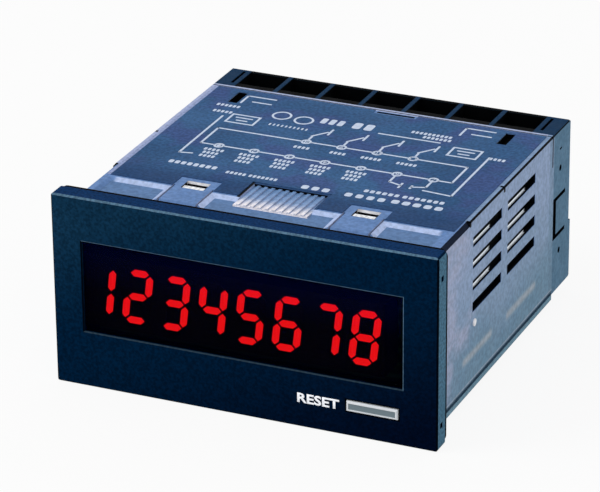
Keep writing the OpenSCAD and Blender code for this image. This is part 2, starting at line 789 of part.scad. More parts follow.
// The driver holes, screw holes and tail slots of one row
module row_holes(screw_z, tail_z, y1) {
    for (i = [0:bay_count - 1]) translate([bay_x(i), 0, 0]) {
        translate([0, 0, screw_z]) {
            rod_y(driver_d, y1 - bay_rear_t - eps, y1 + eps);
            rod_y(shank_d + 4 * screw_gap, case_l - eps, bay_y + eps);
        }
        translate([0, 0, tail_z]) tail_slot(case_l, bay_y);
    }
}

// A slot that the tail of a terminal plate goes through
module tail_slot(y0, y1) {
    block(
        [-tail_w / 2 - tail_gap, y0 - eps, -tail_gap],
        [tail_w / 2 + tail_gap, y1 + eps, plate_t + tail_gap]
    );
}

// The slots that free the side latch from the end wall
module side_latch_slots() {
    wall = side_x - row_w / 2;
    block([-wall, -eps, -latch_slot], [eps, bay_front_t + latch_gap, latch_h + latch_slot]);
    for (z = [-latch_slot, latch_h]) block([-wall, 0, z], [eps, latch_l, z + latch_slot]);
}

// A snap arm of the block that reaches into a rear slot of the case
module snap_arm() {
    arm_edge = 0.5;
    arm = rear_slot_w + 2 * arm_edge;
    catch_x = rear_slot_w / 2 - catch_gap;
    rear = rear_slot_front + rear_slot_l - catch_gap;
    block([-arm / 2, rear_slot_front, skirt_top - skirt_t], [arm / 2, plug_y + eps, skirt_top]);
    along_x(-catch_x, catch_x)
        polygon([[rear_slot_front + catch_gap, skirt_top - eps], [rear, roof_z - case_roof / 2],
            [rear, skirt_top - eps]]);
}

module terminal_block() {
    color("#27435a") difference() {
        union() {
            intersection() {
                along_y(case_l, low_block_y)
                    polygon(mirrored([[side_x - case_chamfer, roof_z], [side_x, roof_z - case_chamfer],
                        [side_x, block_bottom]]));
                along_x(-side_x, side_x)
                    polygon([[case_l, block_bottom], [low_block_y - block_chamfer, block_bottom],
                        [low_block_y, block_bottom + block_chamfer], [low_block_y, lower_bay_z],
                        [block_y, lower_bay_z], [block_y, roof_z - block_chamfer],
                        [block_y - block_chamfer, roof_z], [case_l, roof_z]]);
            }
            along_y(plug_y, case_l + eps) difference() {
                skirt_outline(0);
                skirt_outline(skirt_t);
            }
            for (x = [-rear_slot_x, rear_slot_x]) translate([x, 0, 0]) snap_arm();
        }
        bay_row(upper_bay_z, roof_z + eps, block_y);
        bay_row(block_bottom - eps, lower_bay_z, low_block_y);
        for (side = [-1, 1])
            translate([side * (row_w + end_slit) / 2, 0, 0])
                block(
                    [-end_slit / 2, bay_y, lower_bay_z - eps],
                    [end_slit / 2, block_y - bay_rear_t, upper_bay_z + eps]
                );
        row_holes(upper_screw_z, upper_bay_z, block_y);
        row_holes(lower_screw_z, lower_bay_z - plate_t, low_block_y);
        for (side = [0, 1]) mirror([side, 0, 0]) translate([side_x, 0, 0]) {
            translate([0, case_l, latch_z - latch_h / 2]) side_latch_slots();
            for (z = [upper_screw_z, lower_screw_z])
                translate([-pin_hole_depth, case_l + pin_hole_y, z])
                    rotate([0, 90, 0]) cylinder(d = pin_hole_d, h = pin_hole_depth + eps);
            translate([0, case_l + pin_hole_y, roof_z - side_slot_drop])
                cube([pin_hole_depth, side_slot_l, side_slot_h], center = true);
        }
    }
}

// One block of four digits; half is -1 for the left one and 1 for the right one
module led_module(half) {
    foot = 0.6;
    x0 = digits_x + (half < 0 ? -module_w : 0);
    color("#15161a") difference() {
        block([x0, module_y, digits_z - module_h / 2], [x0 + module_w, display_y, digits_z + module_h / 2]);
        block(
            [x0 + foot * 2, display_y - foot, digits_z - module_h / 2 - eps],
            [x0 + module_w - foot * 2, display_y + eps, digits_z + module_h / 2 + eps]
        );
    }
}

module led_module_left() led_module(-1);
module led_module_right() led_module(1);

// One segment window on the face of its digit block
module segment(digit, name) {
    place = segment_place(name);
    upright = place[2] > 0;
    bar = bar_points(upright ? upright_l : across_l);
    points = [for (p = bar) slanted([place.x, place.y] + turned(p, upright))];
    translate([digits_x + (digit - 3.5) * digit_pitch, 0, digits_z])
        along_y(module_y - segment_t, module_y) polygon(points);
}

module segments(lit) {
    for (digit = [0:len(LIT) - 1], name = SEGMENT_NAMES)
        if (is_lit(digit, name) == lit) segment(digit, name);
}

module lit_segments() color("red") segments(true);
module dark_segments() color("#1c1416") segments(false);

module display_board() {
    color("#1f6b46") block([-board_x, display_y, board_bottom], [board_x, display_y + board_t, board_top]);
}

module reset_switch() {
    color("#22252a") translate([key_x, 0, key_z]) difference() {
        along_y(switch_y, display_y) rect([-switch_w / 2, switch_low], [switch_w / 2, switch_h / 2]);
        rod_y(stem_d, switch_y - eps, switch_y + plunger_l + key_travel + key_gap);
    }
}

module switch_plunger() {
    color("#c8742c") translate([key_x, 0, key_z]) rod_y(plunger_d, plunger_y, switch_y + plunger_l);
}

module main_board() {
    color("#1f6b46")
        block([-main_x, main_y, main_z - board_t], [main_x, main_rear, main_z]);
}

module side_board() {
    x1 = in_x - side_board_gap;
    color("#d8e4d4")
        along_x(x1 - board_t, x1)
            rect([vent_y - side_board_front, main_z], [main_rear, in_top - side_board_clear]);
}

module terminal_board() {
    top = skirt_top - skirt_t - board_gap;
    color("#1f6b46") difference() {
        block(
            [-board_x - skirt_t / 2, terminal_board_y, skirt_bottom + skirt_t / 2],
            [board_x + skirt_t / 2, plug_y, top]
        );
        for (i = [0:bay_count - 1], z = [upper_bay_z, lower_bay_z - plate_t])
            translate([bay_x(i), 0, z]) tail_slot(terminal_board_y, plug_y);
    }
}

module board_link_pins() {
    pitch = 2.54;
    half_count = 5;
    pin = 0.6;
    rise = 1.6;
    foot = 1.5;
    y0 = display_y + board_t;
    back = main_y - y0 + foot;
    color("#c9b06a") for (i = [-half_count:half_count])
        along_x(i * pitch - pin / 2, i * pitch + pin / 2)
            polygon([[y0, main_z + rise], [y0 + back - pin, main_z + rise], [y0 + back - pin, main_z],
                [y0 + back, main_z], [y0 + back, main_z + rise + pin], [y0, main_z + rise + pin]]);
}

module transformer_core() {
    color("#4a4d52") translate([core_x, 0, main_z]) along_y(core_y, core_y + core_l) difference() {
        rect([-core_w / 2, 0], [core_w / 2, core_h]);
        for (side = [-1, 1])
            translate([side * (core_leg + core_window_w / 2), core_h / 2])
                square([core_window_w, core_h - 2 * core_leg], center = true);
    }
}

module transformer_coil() {
    coil_x = core_leg + core_window_w - coil_gap;
    leg_x = core_leg + coil_gap;
    color("#e6e2d4") translate([core_x, 0, main_z]) difference() {
        block(
            [-coil_x, core_y - coil_over, core_leg + coil_gap],
            [coil_x, core_y + core_l + coil_over, core_h - core_leg - coil_gap]
        );
        block(
            [-leg_x, core_y - coil_gap, core_leg],
            [leg_x, core_y + core_l + coil_gap, core_h - core_leg]
        );
    }
}

module filter_capacitors() {
    bead = 0.4;
    bead_z = 1.6;
    r = cap_d / 2;
    color("#2a2f55") for (i = [0, 1]) translate([cap_x, cap_y + i * cap_pitch, main_z]) rotate_extrude()
        polygon([[0, 0], [r, 0], [r, bead_z - bead], [r - bead, bead_z], [r, bead_z + bead],
            [r, cap_h - bead], [r - bead, cap_h], [0, cap_h]]);
}

module controller_chip() {
    lead = [1.2, 0.4, 0.5];
    count = floor((chip_w - 2 * lead_pitch) / lead_pitch);
    color("#1b1c1f") translate([chip_x, chip_y, main_z]) {
        block([-chip_w / 2, -chip_w / 2, 0], [chip_w / 2, chip_w / 2, chip_t]);
        for (turn = [0:3], i = [0:count]) rotate([0, 0, turn * 90])
            translate([chip_w / 2 - eps, (i - count / 2) * lead_pitch - lead.y / 2, 0]) cube(lead);
    }
}

module photocouplers() {
    stand = 0.6;
    leg_w = 0.6;
    leg_t = 0.3;
    leg_x = coupler_w / 4;
    y0 = -coupler_l / 2;
    color("#e9e9e4") for (i = [0:coupler_count - 1])
        translate([coupler_x + i * coupler_pitch, main_rear - coupler_rear, main_z]) {
            block([-coupler_w / 2, y0, stand], [coupler_w / 2, -y0, stand + coupler_h]);
            for (x = [-leg_x, leg_x], y = [y0, -y0 - leg_t])
                block([x - leg_w / 2, y, 0], [x + leg_w / 2, y + leg_t, stand + eps]);
        }
}

// One row of terminal plates with their tails
module terminal_plates(screw_z, tail_z) {
    low = min(tail_z, screw_z - plate_reach);
    high = max(tail_z + plate_t, screw_z + plate_reach);
    color("#c8a95a") for (i = [0:bay_count - 1]) translate([bay_x(i), 0, 0]) {
        difference() {
            block([-plate_w / 2, bay_y, low], [plate_w / 2, bay_y + plate_t, high]);
            translate([0, 0, screw_z]) rod_y(shank_d + 2 * screw_gap, bay_y - eps, bay_y + plate_t + eps);
        }
        block([-tail_w / 2, tail_y, tail_z], [tail_w / 2, bay_y + eps, tail_z + plate_t]);
    }
}

module upper_terminal_plates() terminal_plates(upper_screw_z, upper_bay_z);
module lower_terminal_plates() terminal_plates(lower_screw_z, lower_bay_z - plate_t);

// One row of square clamp washers
module clamp_washers(screw_z) {
    y0 = bay_y + plate_t;
    color("#b8bec4") for (i = [0:bay_count - 1]) translate([bay_x(i), 0, screw_z]) difference() {
        along_y(y0, y0 + plate_t) square(washer_w, center = true);
        rod_y(shank_d + 2 * screw_gap, y0 - eps, y0 + plate_t + eps);
    }
}

module upper_clamp_washers() clamp_washers(upper_screw_z);
module lower_clamp_washers() clamp_washers(lower_screw_z);

// One row of screws with cross recesses
module terminal_screws(screw_z) {
    head_y = bay_y + 2 * plate_t;
    slot_w = 0.9;
    slot_l = 3.4;
    slot_depth = 1.1;
    crown = 0.5;
    color("#c2c8ce") for (i = [0:bay_count - 1]) translate([bay_x(i), 0, screw_z]) difference() {
        translate([0, head_y, 0]) rotate([-90, 0, 0]) rotate_extrude()
            polygon([[0, case_l - head_y], [shank_d / 2, case_l - head_y], [shank_d / 2, 0],
                [head_d / 2, 0], [head_d / 2, head_h - crown], [head_d / 2 - crown, head_h], [0, head_h]]);
        for (turn = [0, 90]) rotate([0, turn, 0])
            block(
                [-slot_l / 2, head_y + head_h - slot_depth, -slot_w / 2],
                [slot_l / 2, head_y + head_h + eps, slot_w / 2]
            );
    }
}

module upper_terminal_screws() terminal_screws(upper_screw_z);
module lower_terminal_screws() terminal_screws(lower_screw_z);

front_bezel();
display_window();
reset_key();
panel_gasket();
case();
diagram_label();
terminal_block();
led_module_left();
led_module_right();
lit_segments();
dark_segments();
display_board();
reset_switch();
switch_plunger();
main_board();
side_board();
terminal_board();
board_link_pins();
transformer_core();
transformer_coil();
filter_capacitors();
controller_chip();
photocouplers();
upper_terminal_plates();
lower_terminal_plates();
upper_clamp_washers();
lower_clamp_washers();
upper_terminal_screws();
lower_terminal_screws();
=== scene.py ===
"""Dresses the panel counter: a finish for every solid, the printed marks, and a plain studio round it."""

import logging
import math
from dataclasses import dataclass
from enum import Enum
from typing import Any, Optional, Sequence, Union

import bpy
from mathutils import Matrix, Vector


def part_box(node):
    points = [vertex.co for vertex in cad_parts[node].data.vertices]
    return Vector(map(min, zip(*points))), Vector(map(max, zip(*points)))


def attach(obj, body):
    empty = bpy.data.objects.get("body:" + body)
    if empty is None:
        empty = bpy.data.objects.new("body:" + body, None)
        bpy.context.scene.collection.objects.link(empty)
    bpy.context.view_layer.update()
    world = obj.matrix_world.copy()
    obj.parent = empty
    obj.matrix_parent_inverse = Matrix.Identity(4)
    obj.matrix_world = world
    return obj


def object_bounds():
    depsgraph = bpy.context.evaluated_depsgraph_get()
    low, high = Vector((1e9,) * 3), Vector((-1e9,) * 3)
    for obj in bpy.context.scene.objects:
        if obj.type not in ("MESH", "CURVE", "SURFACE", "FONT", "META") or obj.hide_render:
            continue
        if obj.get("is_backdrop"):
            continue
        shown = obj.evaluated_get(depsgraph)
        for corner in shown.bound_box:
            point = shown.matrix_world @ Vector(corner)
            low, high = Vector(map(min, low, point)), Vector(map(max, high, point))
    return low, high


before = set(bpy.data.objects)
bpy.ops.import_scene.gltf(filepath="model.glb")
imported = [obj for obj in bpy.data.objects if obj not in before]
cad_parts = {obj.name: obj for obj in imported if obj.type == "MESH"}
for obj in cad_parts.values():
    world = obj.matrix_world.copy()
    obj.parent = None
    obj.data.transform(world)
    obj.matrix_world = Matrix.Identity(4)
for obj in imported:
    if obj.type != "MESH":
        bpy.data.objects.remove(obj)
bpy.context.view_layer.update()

LOG = logging.getLogger("panel_counter")
MM = 0.001
PHOTO_WIDTH = 600

Rgb = tuple[int, int, int]
Rgba = tuple[float, float, float, float]
Point = tuple[float, float]
Span = tuple[float, float]
Stretch = tuple[float, float, float]
Socket = bpy.types.NodeSocket
Feed = Union[Socket, float, Sequence[float]]

# The share of a surface's normal along an axis, where a mark by its facing starts and where it is full
SQUARE_ON: Span = (0.85, 0.95)
STEEP: Span = (0.6, 0.8)
SLANTED: Span = (0.4, 0.6)

# The levels of the noise between which clouds, an uneven gloss and straying edges go from end to end
CLOUD_LEVELS: Span = (0.3, 0.7)
GLOSS_LEVELS: Span = (0.25, 0.75)
WANDER_LEVELS: Span = (0.2, 0.8)

# The size of the strays in millimetres, and how many finer layers each kind of noise has
WANDER_SIZE = 5.0
SOFT_DETAIL = 2.0
CLOUD_DETAIL = 3.0
SPECK_DETAIL = 4.0

# The screen's curve from the level of a colour to its light
FULL_LEVEL = 255
CURVE_KNEE = 0.04045
CURVE_SLOPE = 12.92
CURVE_LIFT = 0.055
CURVE_POWER = 2.4

# The Mix node's sockets for its amount, its two colours and its result, and the samples of a softened edge
MIX_INPUTS = (0, 6, 7)
MIX_OUTPUT = 2
EDGE_SAMPLES = 6


class Body(Enum):
    """The bodies of the counter that a new piece rides on."""

    HOUSING = "housing"


class Axis(Enum):
    """The axes of the shared frame: X to the right, Y into the panel, Z up."""

    X = 0
    Y = 1
    Z = 2


class Sense(Enum):
    """The senses along an axis that a surface can face."""

    ALONG = 1
    BACK = -1
    BOTH = 0


class Mixing(Enum):
    """The ways in which a second colour meets a first."""

    OVER = "MIX"
    TIMES = "MULTIPLY"


class Facing(Enum):
    """The way a printed mark faces, as turns about X, Y and Z in degrees."""

    FRONT = (90, 0, 0)
    ROOF = (0, 0, 0)
    ROOF_FROM_REAR = (0, 0, 180)


def linear(colour: Rgb) -> Rgba:
    """Turns a screen colour into the linear colour that a shader takes.

    Args:
        colour: red, green and blue from 0 to 255.

    Returns:
        The linear colour with full opacity.
    """
    light = []
    for level in colour:
        share = level / FULL_LEVEL
        if share <= CURVE_KNEE:
            light.append(share / CURVE_SLOPE)
        else:
            light.append(((share + CURVE_LIFT) / (1 + CURVE_LIFT)) ** CURVE_POWER)
    return (*light, 1.0)


@dataclass(frozen=True)
class Region:
    """A box-shaped region of the part, in millimetres.

    Attributes:
        x: its span on X; an axis without a span doesn't bound it.
        y: its span on Y.
        z: its span on Z.
        both_sides: takes X without its sign, so that left and right are alike.
        soft: how far its edges are blurred.
        wander: how far its edges stray with the noise.
    """

    x: Optional[Span] = None
    y: Optional[Span] = None
    z: Optional[Span] = None
    both_sides: bool = False
    soft: float = 0.03
    wander: float = 0.0


class Graph:
    """A node material in the making, with its shader and the part's own coordinates."""

    def __init__(self, name: str) -> None:
        """Starts a material that holds only a shader and an output."""
        self.material = bpy.data.materials.new(name)
        self.material.use_nodes = True
        self.tree = self.material.node_tree
        self.tree.nodes.clear()
        output = self.node("ShaderNodeOutputMaterial")
        self.shader = self.node("ShaderNodeBsdfPrincipled")
        self.tree.links.new(self.shader.outputs["BSDF"], output.inputs["Surface"])
        coordinates = self.node("ShaderNodeTexCoord")
        self.place = coordinates.outputs["Object"]
        self.normal = coordinates.outputs["Normal"]

    def node(self, kind: str, **settings: Any) -> bpy.types.Node:
        """Adds a node.

        Args:
            kind: the node's type name.
            **settings: its own settings, by name.

        Returns:
            The new node.
        """
        made = self.tree.nodes.new(kind)
        for key, value in settings.items():
            setattr(made, key, value)
        return made

    def feed(self, target: Socket, value: Feed) -> None:
        """Links a socket to another one, or sets it to a plain value."""
        if isinstance(value, bpy.types.NodeSocket):
            self.tree.links.new(value, target)
        else:
            target.default_value = value

    def set(self, name: str, value: Feed) -> None:
        """Feeds one of the shader's own sockets."""
        self.feed(self.shader.inputs[name], value)

    def along(self, axis: Axis, source: Optional[Socket] = None) -> Socket:
        """Takes one coordinate of a vector.

        Args:
            axis: which coordinate.
            source: the vector, or the part's own coordinates when left out.

        Returns:
            The coordinate's socket.
        """
        split = self.node("ShaderNodeSeparateXYZ")
        self.feed(split.inputs[0], source or self.place)
        return split.outputs[axis.value]

    def maths(self, operation: str, first: Feed, second: Feed = 0.0) -> Socket:
        """Combines two numbers.

        Args:
            operation: the Math node's operation.
            first: the first number.
            second: the second number, where the operation has one.

        Returns:
            The result's socket.
        """
        made = self.node("ShaderNodeMath", operation=operation)
        self.feed(made.inputs[0], first)
        self.feed(made.inputs[1], second)
        return made.outputs[0]

    def product(self, *masks: Feed) -> Socket:
        """Multiplies masks, which gives 1 where all of them are 1."""
        result = masks[0]
        for mask in masks[1:]:
            result = self.maths("MULTIPLY", result, mask)
        return result

    def either(self, *masks: Feed) -> Socket:
        """Takes the highest of several masks, which gives 1 where any of them is 1."""
        result = masks[0]
        for mask in masks[1:]:
            result = self.maths("MAXIMUM", result, mask)
        return result

    def rise(self, value: Feed, start: float, end: float, low: float = 0.0, high: float = 1.0) -> Socket:
        """Rises smoothly from low to high while a value goes from start to end.

        Args:
            value: the value that is followed.
            start: where the rise starts.
            end: where it ends.
            low: the result before the start.
            high: the result after the end.

        Returns:
            The result's socket.
        """
        made = self.node("ShaderNodeMapRange", interpolation_type="SMOOTHSTEP")
        for place, part in enumerate((value, start, end, low, high)):
            self.feed(made.inputs[place], part)
        return made.outputs[0]

    def within(self, value: Feed, span: Span, soft: float) -> Socket:
        """Marks where a value lies in a span.

        Args:
            value: the value that is tested.
            span: the span's two ends.
            soft: how far each end is blurred.

        Returns:
            A socket that is 1 inside the span and 0 outside it.
        """
        enters = self.rise(value, span[0] - soft, span[0] + soft)
        leaves = self.rise(value, span[1] - soft, span[1] + soft)
        return self.maths("SUBTRACT", enters, leaves)

    def passed(self, axis: Axis, start: float, end: float) -> Socket:
        """Rises from 0 to 1 between two places on an axis, in millimetres."""
        return self.rise(self.along(axis), start * MM, end * MM)

    def facing(self, axis: Axis, limits: Span, sense: Sense = Sense.ALONG) -> Socket:
        """Marks surfaces by the way they face.

        Args:
            axis: the axis that they face along.
            limits: the normal's shares of that axis where the mark starts and where it is full.
            sense: whether they face along the axis, back along it, or either.

        Returns:
            A socket that is 1 on these surfaces.
        """
        share = self.along(axis, self.normal)
        if sense is Sense.BOTH:
            return self.rise(self.maths("ABSOLUTE", share), *limits)
        return self.rise(share, *(sense.value * limit for limit in limits))

    def field(self, region: Region) -> Socket:
        """Marks a region of the part.

        Args:
            region: the region, which is bounded on one axis at least.

        Returns:
            A socket that is 1 in the region and 0 outside it.
        """
        masks = []
        for axis, span in zip(Axis, (region.x, region.y, region.z)):
            if span is None:
                continue
            value = self.along(axis)
            if region.both_sides and axis is Axis.X:
                value = self.maths("ABSOLUTE", value)
            if region.wander > 0:
                reach = region.wander * MM
                stray = self.rise(self.noise(WANDER_SIZE), *WANDER_LEVELS, -reach, reach)
                value = self.maths("ADD", value, stray)
            masks.append(self.within(value, (span[0] * MM, span[1] * MM), region.soft * MM))
        return self.product(*masks)

    def fields(self, *regions: Region) -> Socket:
        """Marks several regions of the part at once."""
        return self.either(*(self.field(region) for region in regions))

    def steps(self, axis: Axis, pitch: float, start: float = 0.0) -> Socket:
        """Counts from 0 to 1 over and over along an axis, once in each pitch.

        Args:
            axis: the axis that it runs along.
            pitch: the length of a step in millimetres.
            start: a place on the axis where a step starts, in millimetres.

        Returns:
            The count's socket.
        """
        place = self.maths("SUBTRACT", self.along(axis), start * MM)
        return self.maths("FRACT", self.maths("DIVIDE", place, pitch * MM))

    def noise(self, size: float, detail: float = CLOUD_DETAIL, stretch: Stretch = (1, 1, 1)) -> Socket:
        """Adds cloudy noise in the part's coordinates.

        Args:
            size: the size of a cloud in millimetres.
            detail: how many finer layers it has.
            stretch: how much finer it is on each axis.

        Returns:
            The noise's socket, from 0 to 1.
        """
        mapping = self.node("ShaderNodeMapping")
        self.feed(mapping.inputs["Vector"], self.place)
        mapping.inputs["Scale"].default_value = tuple(part / (size * MM) for part in stretch)
        made = self.node("ShaderNodeTexNoise")
        self.feed(made.inputs["Vector"], mapping.outputs[0])
        made.inputs["Scale"].default_value = 1.0
        made.inputs["Detail"].default_value = detail
        return made.outputs["Fac"]

    def blend(self, amount: Feed, first: Feed, second: Feed, way: Mixing = Mixing.OVER) -> Socket:
        """Goes from one colour to another.

        Args:
            amount: 0 for the first colour and 1 for the second.
            first: the first colour.
            second: the second colour.
            way: how the second colour meets the first.

        Returns:
            The mixed colour's socket.
        """
        made = self.node("ShaderNodeMix", data_type="RGBA", blend_type=way.value)
        for place, part in zip(MIX_INPUTS, (amount, first, second)):
            self.feed(made.inputs[place], part)
        return made.outputs[MIX_OUTPUT]

    def fade(self, amount: Feed, first: Rgb, second: Rgb) -> Socket:
        """Goes from one screen colour to another, from an amount of 0 to 1."""
        return self.blend(amount, linear(first), linear(second))

    def paint(self, tone: Feed, mask: Socket, colour: Rgb, cover: float = 1.0) -> Socket:
        """Paints a colour over a tone.

        Args:
            tone: the tone below.
            mask: where the paint goes.
            colour: the paint's screen colour.
            cover: how much of the tone the paint covers.

        Returns:
            The painted tone's socket.
        """
        return self.blend(mask if cover == 1.0 else self.product(mask, cover), tone, linear(colour))

    def speckle(self, tone: Feed, size: float, swing: float) -> Socket:
        """Makes a tone a little darker and lighter from spot to spot.

        Args:
            tone: the tone below.
            size: the size of a spot in millimetres.
            swing: how far the tone goes either way, as a share of itself.

        Returns:
            The speckled tone's socket.
        """
        level = self.rise(self.noise(size, SPECK_DETAIL), *CLOUD_LEVELS, 1 - swing, 1 + swing)
        return self.blend(1.0, tone, level, Mixing.TIMES)

    def relief(self, height: Socket, depth: float, edge: float = 0.0) -> None:
        """Gives the surface a fine relief and softened edges.

        Args:
            height: the relief's height, from 0 to 1.
            depth: how deep it is, in millimetres.
            edge: the radius that sharp edges seem to have, in millimetres.
        """
        bump = self.node("ShaderNodeBump")
        bump.inputs["Strength"].default_value = 1.0
        bump.inputs["Distance"].default_value = depth * MM
        self.feed(bump.inputs["Height"], height)
        if edge > 0:
            bevel = self.node("ShaderNodeBevel", samples=EDGE_SAMPLES)
            bevel.inputs["Radius"].default_value = edge * MM
            self.feed(bump.inputs["Normal"], bevel.outputs[0])
        self.set("Normal", bump.outputs[0])


@dataclass(frozen=True)
class Finish:
    """A finish with two close tones, fine specks, a fine relief and an uneven gloss; sizes in millimetres.

    Attributes:
        name: the material's name.
        colour: its first tone.
        second: its second tone.
        cloud: the size of the clouds between the tones.
        roughness: its middle roughness.
        unevenness: how far the roughness goes either way.
        specular: its specular level.
        grain: the size of the relief's grain.
        grain_detail: how many finer layers the grain has.
        grain_stretch: how much finer the grain is on each axis.
        depth: the depth of the relief.
        edge: the radius that sharp edges seem to have.
        metallic: how metallic it is.
        glow: painted light, how strongly it glows in its own tone though it is no lamp.
        speck: the size of the specks.
        swing: how far the specks go either way, as a share of the tone.
    """

    name: str
    colour: Rgb
    second: Rgb
    cloud: float = 4.0
    roughness: float = 0.5
    unevenness: float = 0.08
    specular: float = 0.25
    grain: float = 0.22
    grain_detail: float = SOFT_DETAIL
    grain_stretch: Stretch = (1, 1, 1)
    depth: float = 0.006
    edge: float = 0.0
    metallic: float = 0.0
    glow: float = 0.0
    speck: float = 1.0
    swing: float = 0.0

    def tones(self, graph: Graph) -> Socket:
        """Gives the colour of the surface, which clouds two tones together."""
        clouds = graph.rise(graph.noise(self.cloud), *CLOUD_LEVELS)
        return graph.fade(clouds, self.colour, self.second)

    def gloss(self, graph: Graph) -> Socket:
        """Lets the roughness wander a little to either side of its level."""
        low, high = self.roughness - self.unevenness, self.roughness + self.unevenness
        return graph.rise(graph.noise(self.cloud / 2), *GLOSS_LEVELS, low, high)

    def height(self, graph: Graph) -> Socket:
        """Gives the fine grain of the surface."""
        return graph.noise(self.grain, self.grain_detail, self.grain_stretch)

    def extras(self, graph: Graph, tone: Socket) -> None:
        """Sets what only this kind of finish has.

        Args:
            graph: the material in the making.
            tone: the colour of the surface.
        """
        # painted light: the surface glows in its own tone
        if self.glow > 0:
            graph.set("Emission Color", tone)
            graph.set("Emission Strength", self.glow)

    def build(self) -> bpy.types.Material:
        """Makes the finish's material.

        Returns:
            The node material.
        """
        graph = Graph(self.name)
        tone = self.tones(graph)
        if self.swing > 0:
            tone = graph.speckle(tone, self.speck, self.swing)
        graph.set("Base Color", tone)
        graph.set("Roughness", self.gloss(graph))
        graph.set("Specular IOR Level", self.specular)
        graph.set("Metallic", self.metallic)
        graph.relief(self.height(graph), self.depth, self.edge)
        self.extras(graph, tone)
        return graph.material


@dataclass(frozen=True)
class BezelPlastic(Finish):
    """Dark navy moulding with painted shade towards its lower right, painted highlights on some chamfers,
    painted light on its flange, and a painted glint on the latch hooks.
    """

    # painted shade: middle and low darken the face towards its lower right corner
    middle: Rgb = (0, 28, 54)
    low: Rgb = (0, 9, 31)
    shade_run: Point = (160.0, 65.0)
    shade_stops: tuple[float, float, float] = (-0.5, -0.05, 0.5)
    chamfer_slope: Span = (-0.9, -0.5)
    chamfer_soft: float = 0.04
    # painted highlight on the chamfers above the face and round the window; edge_shade is painted shade on
    # the others
    edge_line: Rgb = (84, 115, 139)
    edge_shade: Rgb = (2, 7, 17)
    # painted light: the flange's sides and top are lit copies of the navy moulding
    flange_side: Rgb = (76, 115, 139)
    flange_top: Rgb = (16, 50, 92)
    key_shadow: Rgb = (0, 2, 6)
    # painted glint on the latch hooks, from hook_run rearwards
    hook: Rgb = (244, 246, 250)
    hook_run: Span = (9.6, 10.2)
    foot_share: float = 0.25
    top_edge: Region = Region(z=(16.0, 20.0), soft=0.5)
    window_right: Region = Region(x=(20.0, 33.0), soft=0.5)
    window_top: Region = Region(z=(5.0, 13.0), soft=0.5)
    window_foot: Region = Region(z=(-13.0, 0.0), soft=0.5)
    outer_side: Region = Region(x=(35.8, 40.0), y=(-5.0, 0.05), both_sides=True, soft=0.1)
    outer_top: Region = Region(y=(-5.0, 0.05), z=(17.8, 20.0), soft=0.1)
    key_gap: Region = Region(x=(19.05, 29.15), z=(-13.5, -10.9), soft=0.05)

    def lines(self, graph: Graph) -> Socket:
        """Paints the chamfers: highlights above the face and round the window, shade elsewhere.

        Args:
            graph: the material in the making.

        Returns:
            The colour of the chamfers.
        """
        upward, downward = graph.facing(Axis.Z, SLANTED), graph.facing(Axis.Z, SLANTED, Sense.BACK)
        leftward = graph.facing(Axis.X, SLANTED, Sense.BACK)
        pale = graph.either(graph.product(upward, graph.field(self.top_edge)),
                            graph.product(leftward, graph.field(self.window_right)),
                            graph.product(downward, graph.field(self.window_top)),
                            graph.product(upward, graph.field(self.window_foot), self.foot_share))
        return graph.fade(pale, self.edge_shade, self.edge_line)

    def tones(self, graph: Graph) -> Socket:
        """Paints shade towards the face's lower right corner and round the key, highlights and shade on the
        chamfers, lit tones on the flange, and a glint on the hooks.
        """
        across = graph.maths("DIVIDE", graph.along(Axis.X), self.shade_run[0] * MM)
        upward = graph.maths("DIVIDE", graph.along(Axis.Z), self.shade_run[1] * MM)
        shade = graph.maths("SUBTRACT", across, upward)
        start, halfway, end = self.shade_stops
        tone = graph.paint(super().tones(graph), graph.rise(shade, start, halfway), self.middle)
        tone = graph.paint(tone, graph.rise(shade, halfway, end), self.low)
        tone = graph.paint(tone, graph.field(self.key_gap), self.key_shadow)
        # painted highlights and shade on the chamfers
        chamfers = graph.within(graph.along(Axis.Y, graph.normal), self.chamfer_slope, self.chamfer_soft)
        tone = graph.blend(chamfers, tone, self.lines(graph))
        # painted light on the flange's sides and top
        sides = graph.product(graph.field(self.outer_side), graph.facing(Axis.X, SQUARE_ON, Sense.BOTH))
        tone = graph.paint(tone, sides, self.flange_side)
        top = graph.product(graph.field(self.outer_top), graph.facing(Axis.Z, SQUARE_ON))
        tone = graph.paint(tone, top, self.flange_top)
        # painted glint on the hooks
        return graph.paint(tone, graph.passed(Axis.Y, *self.hook_run), self.hook)


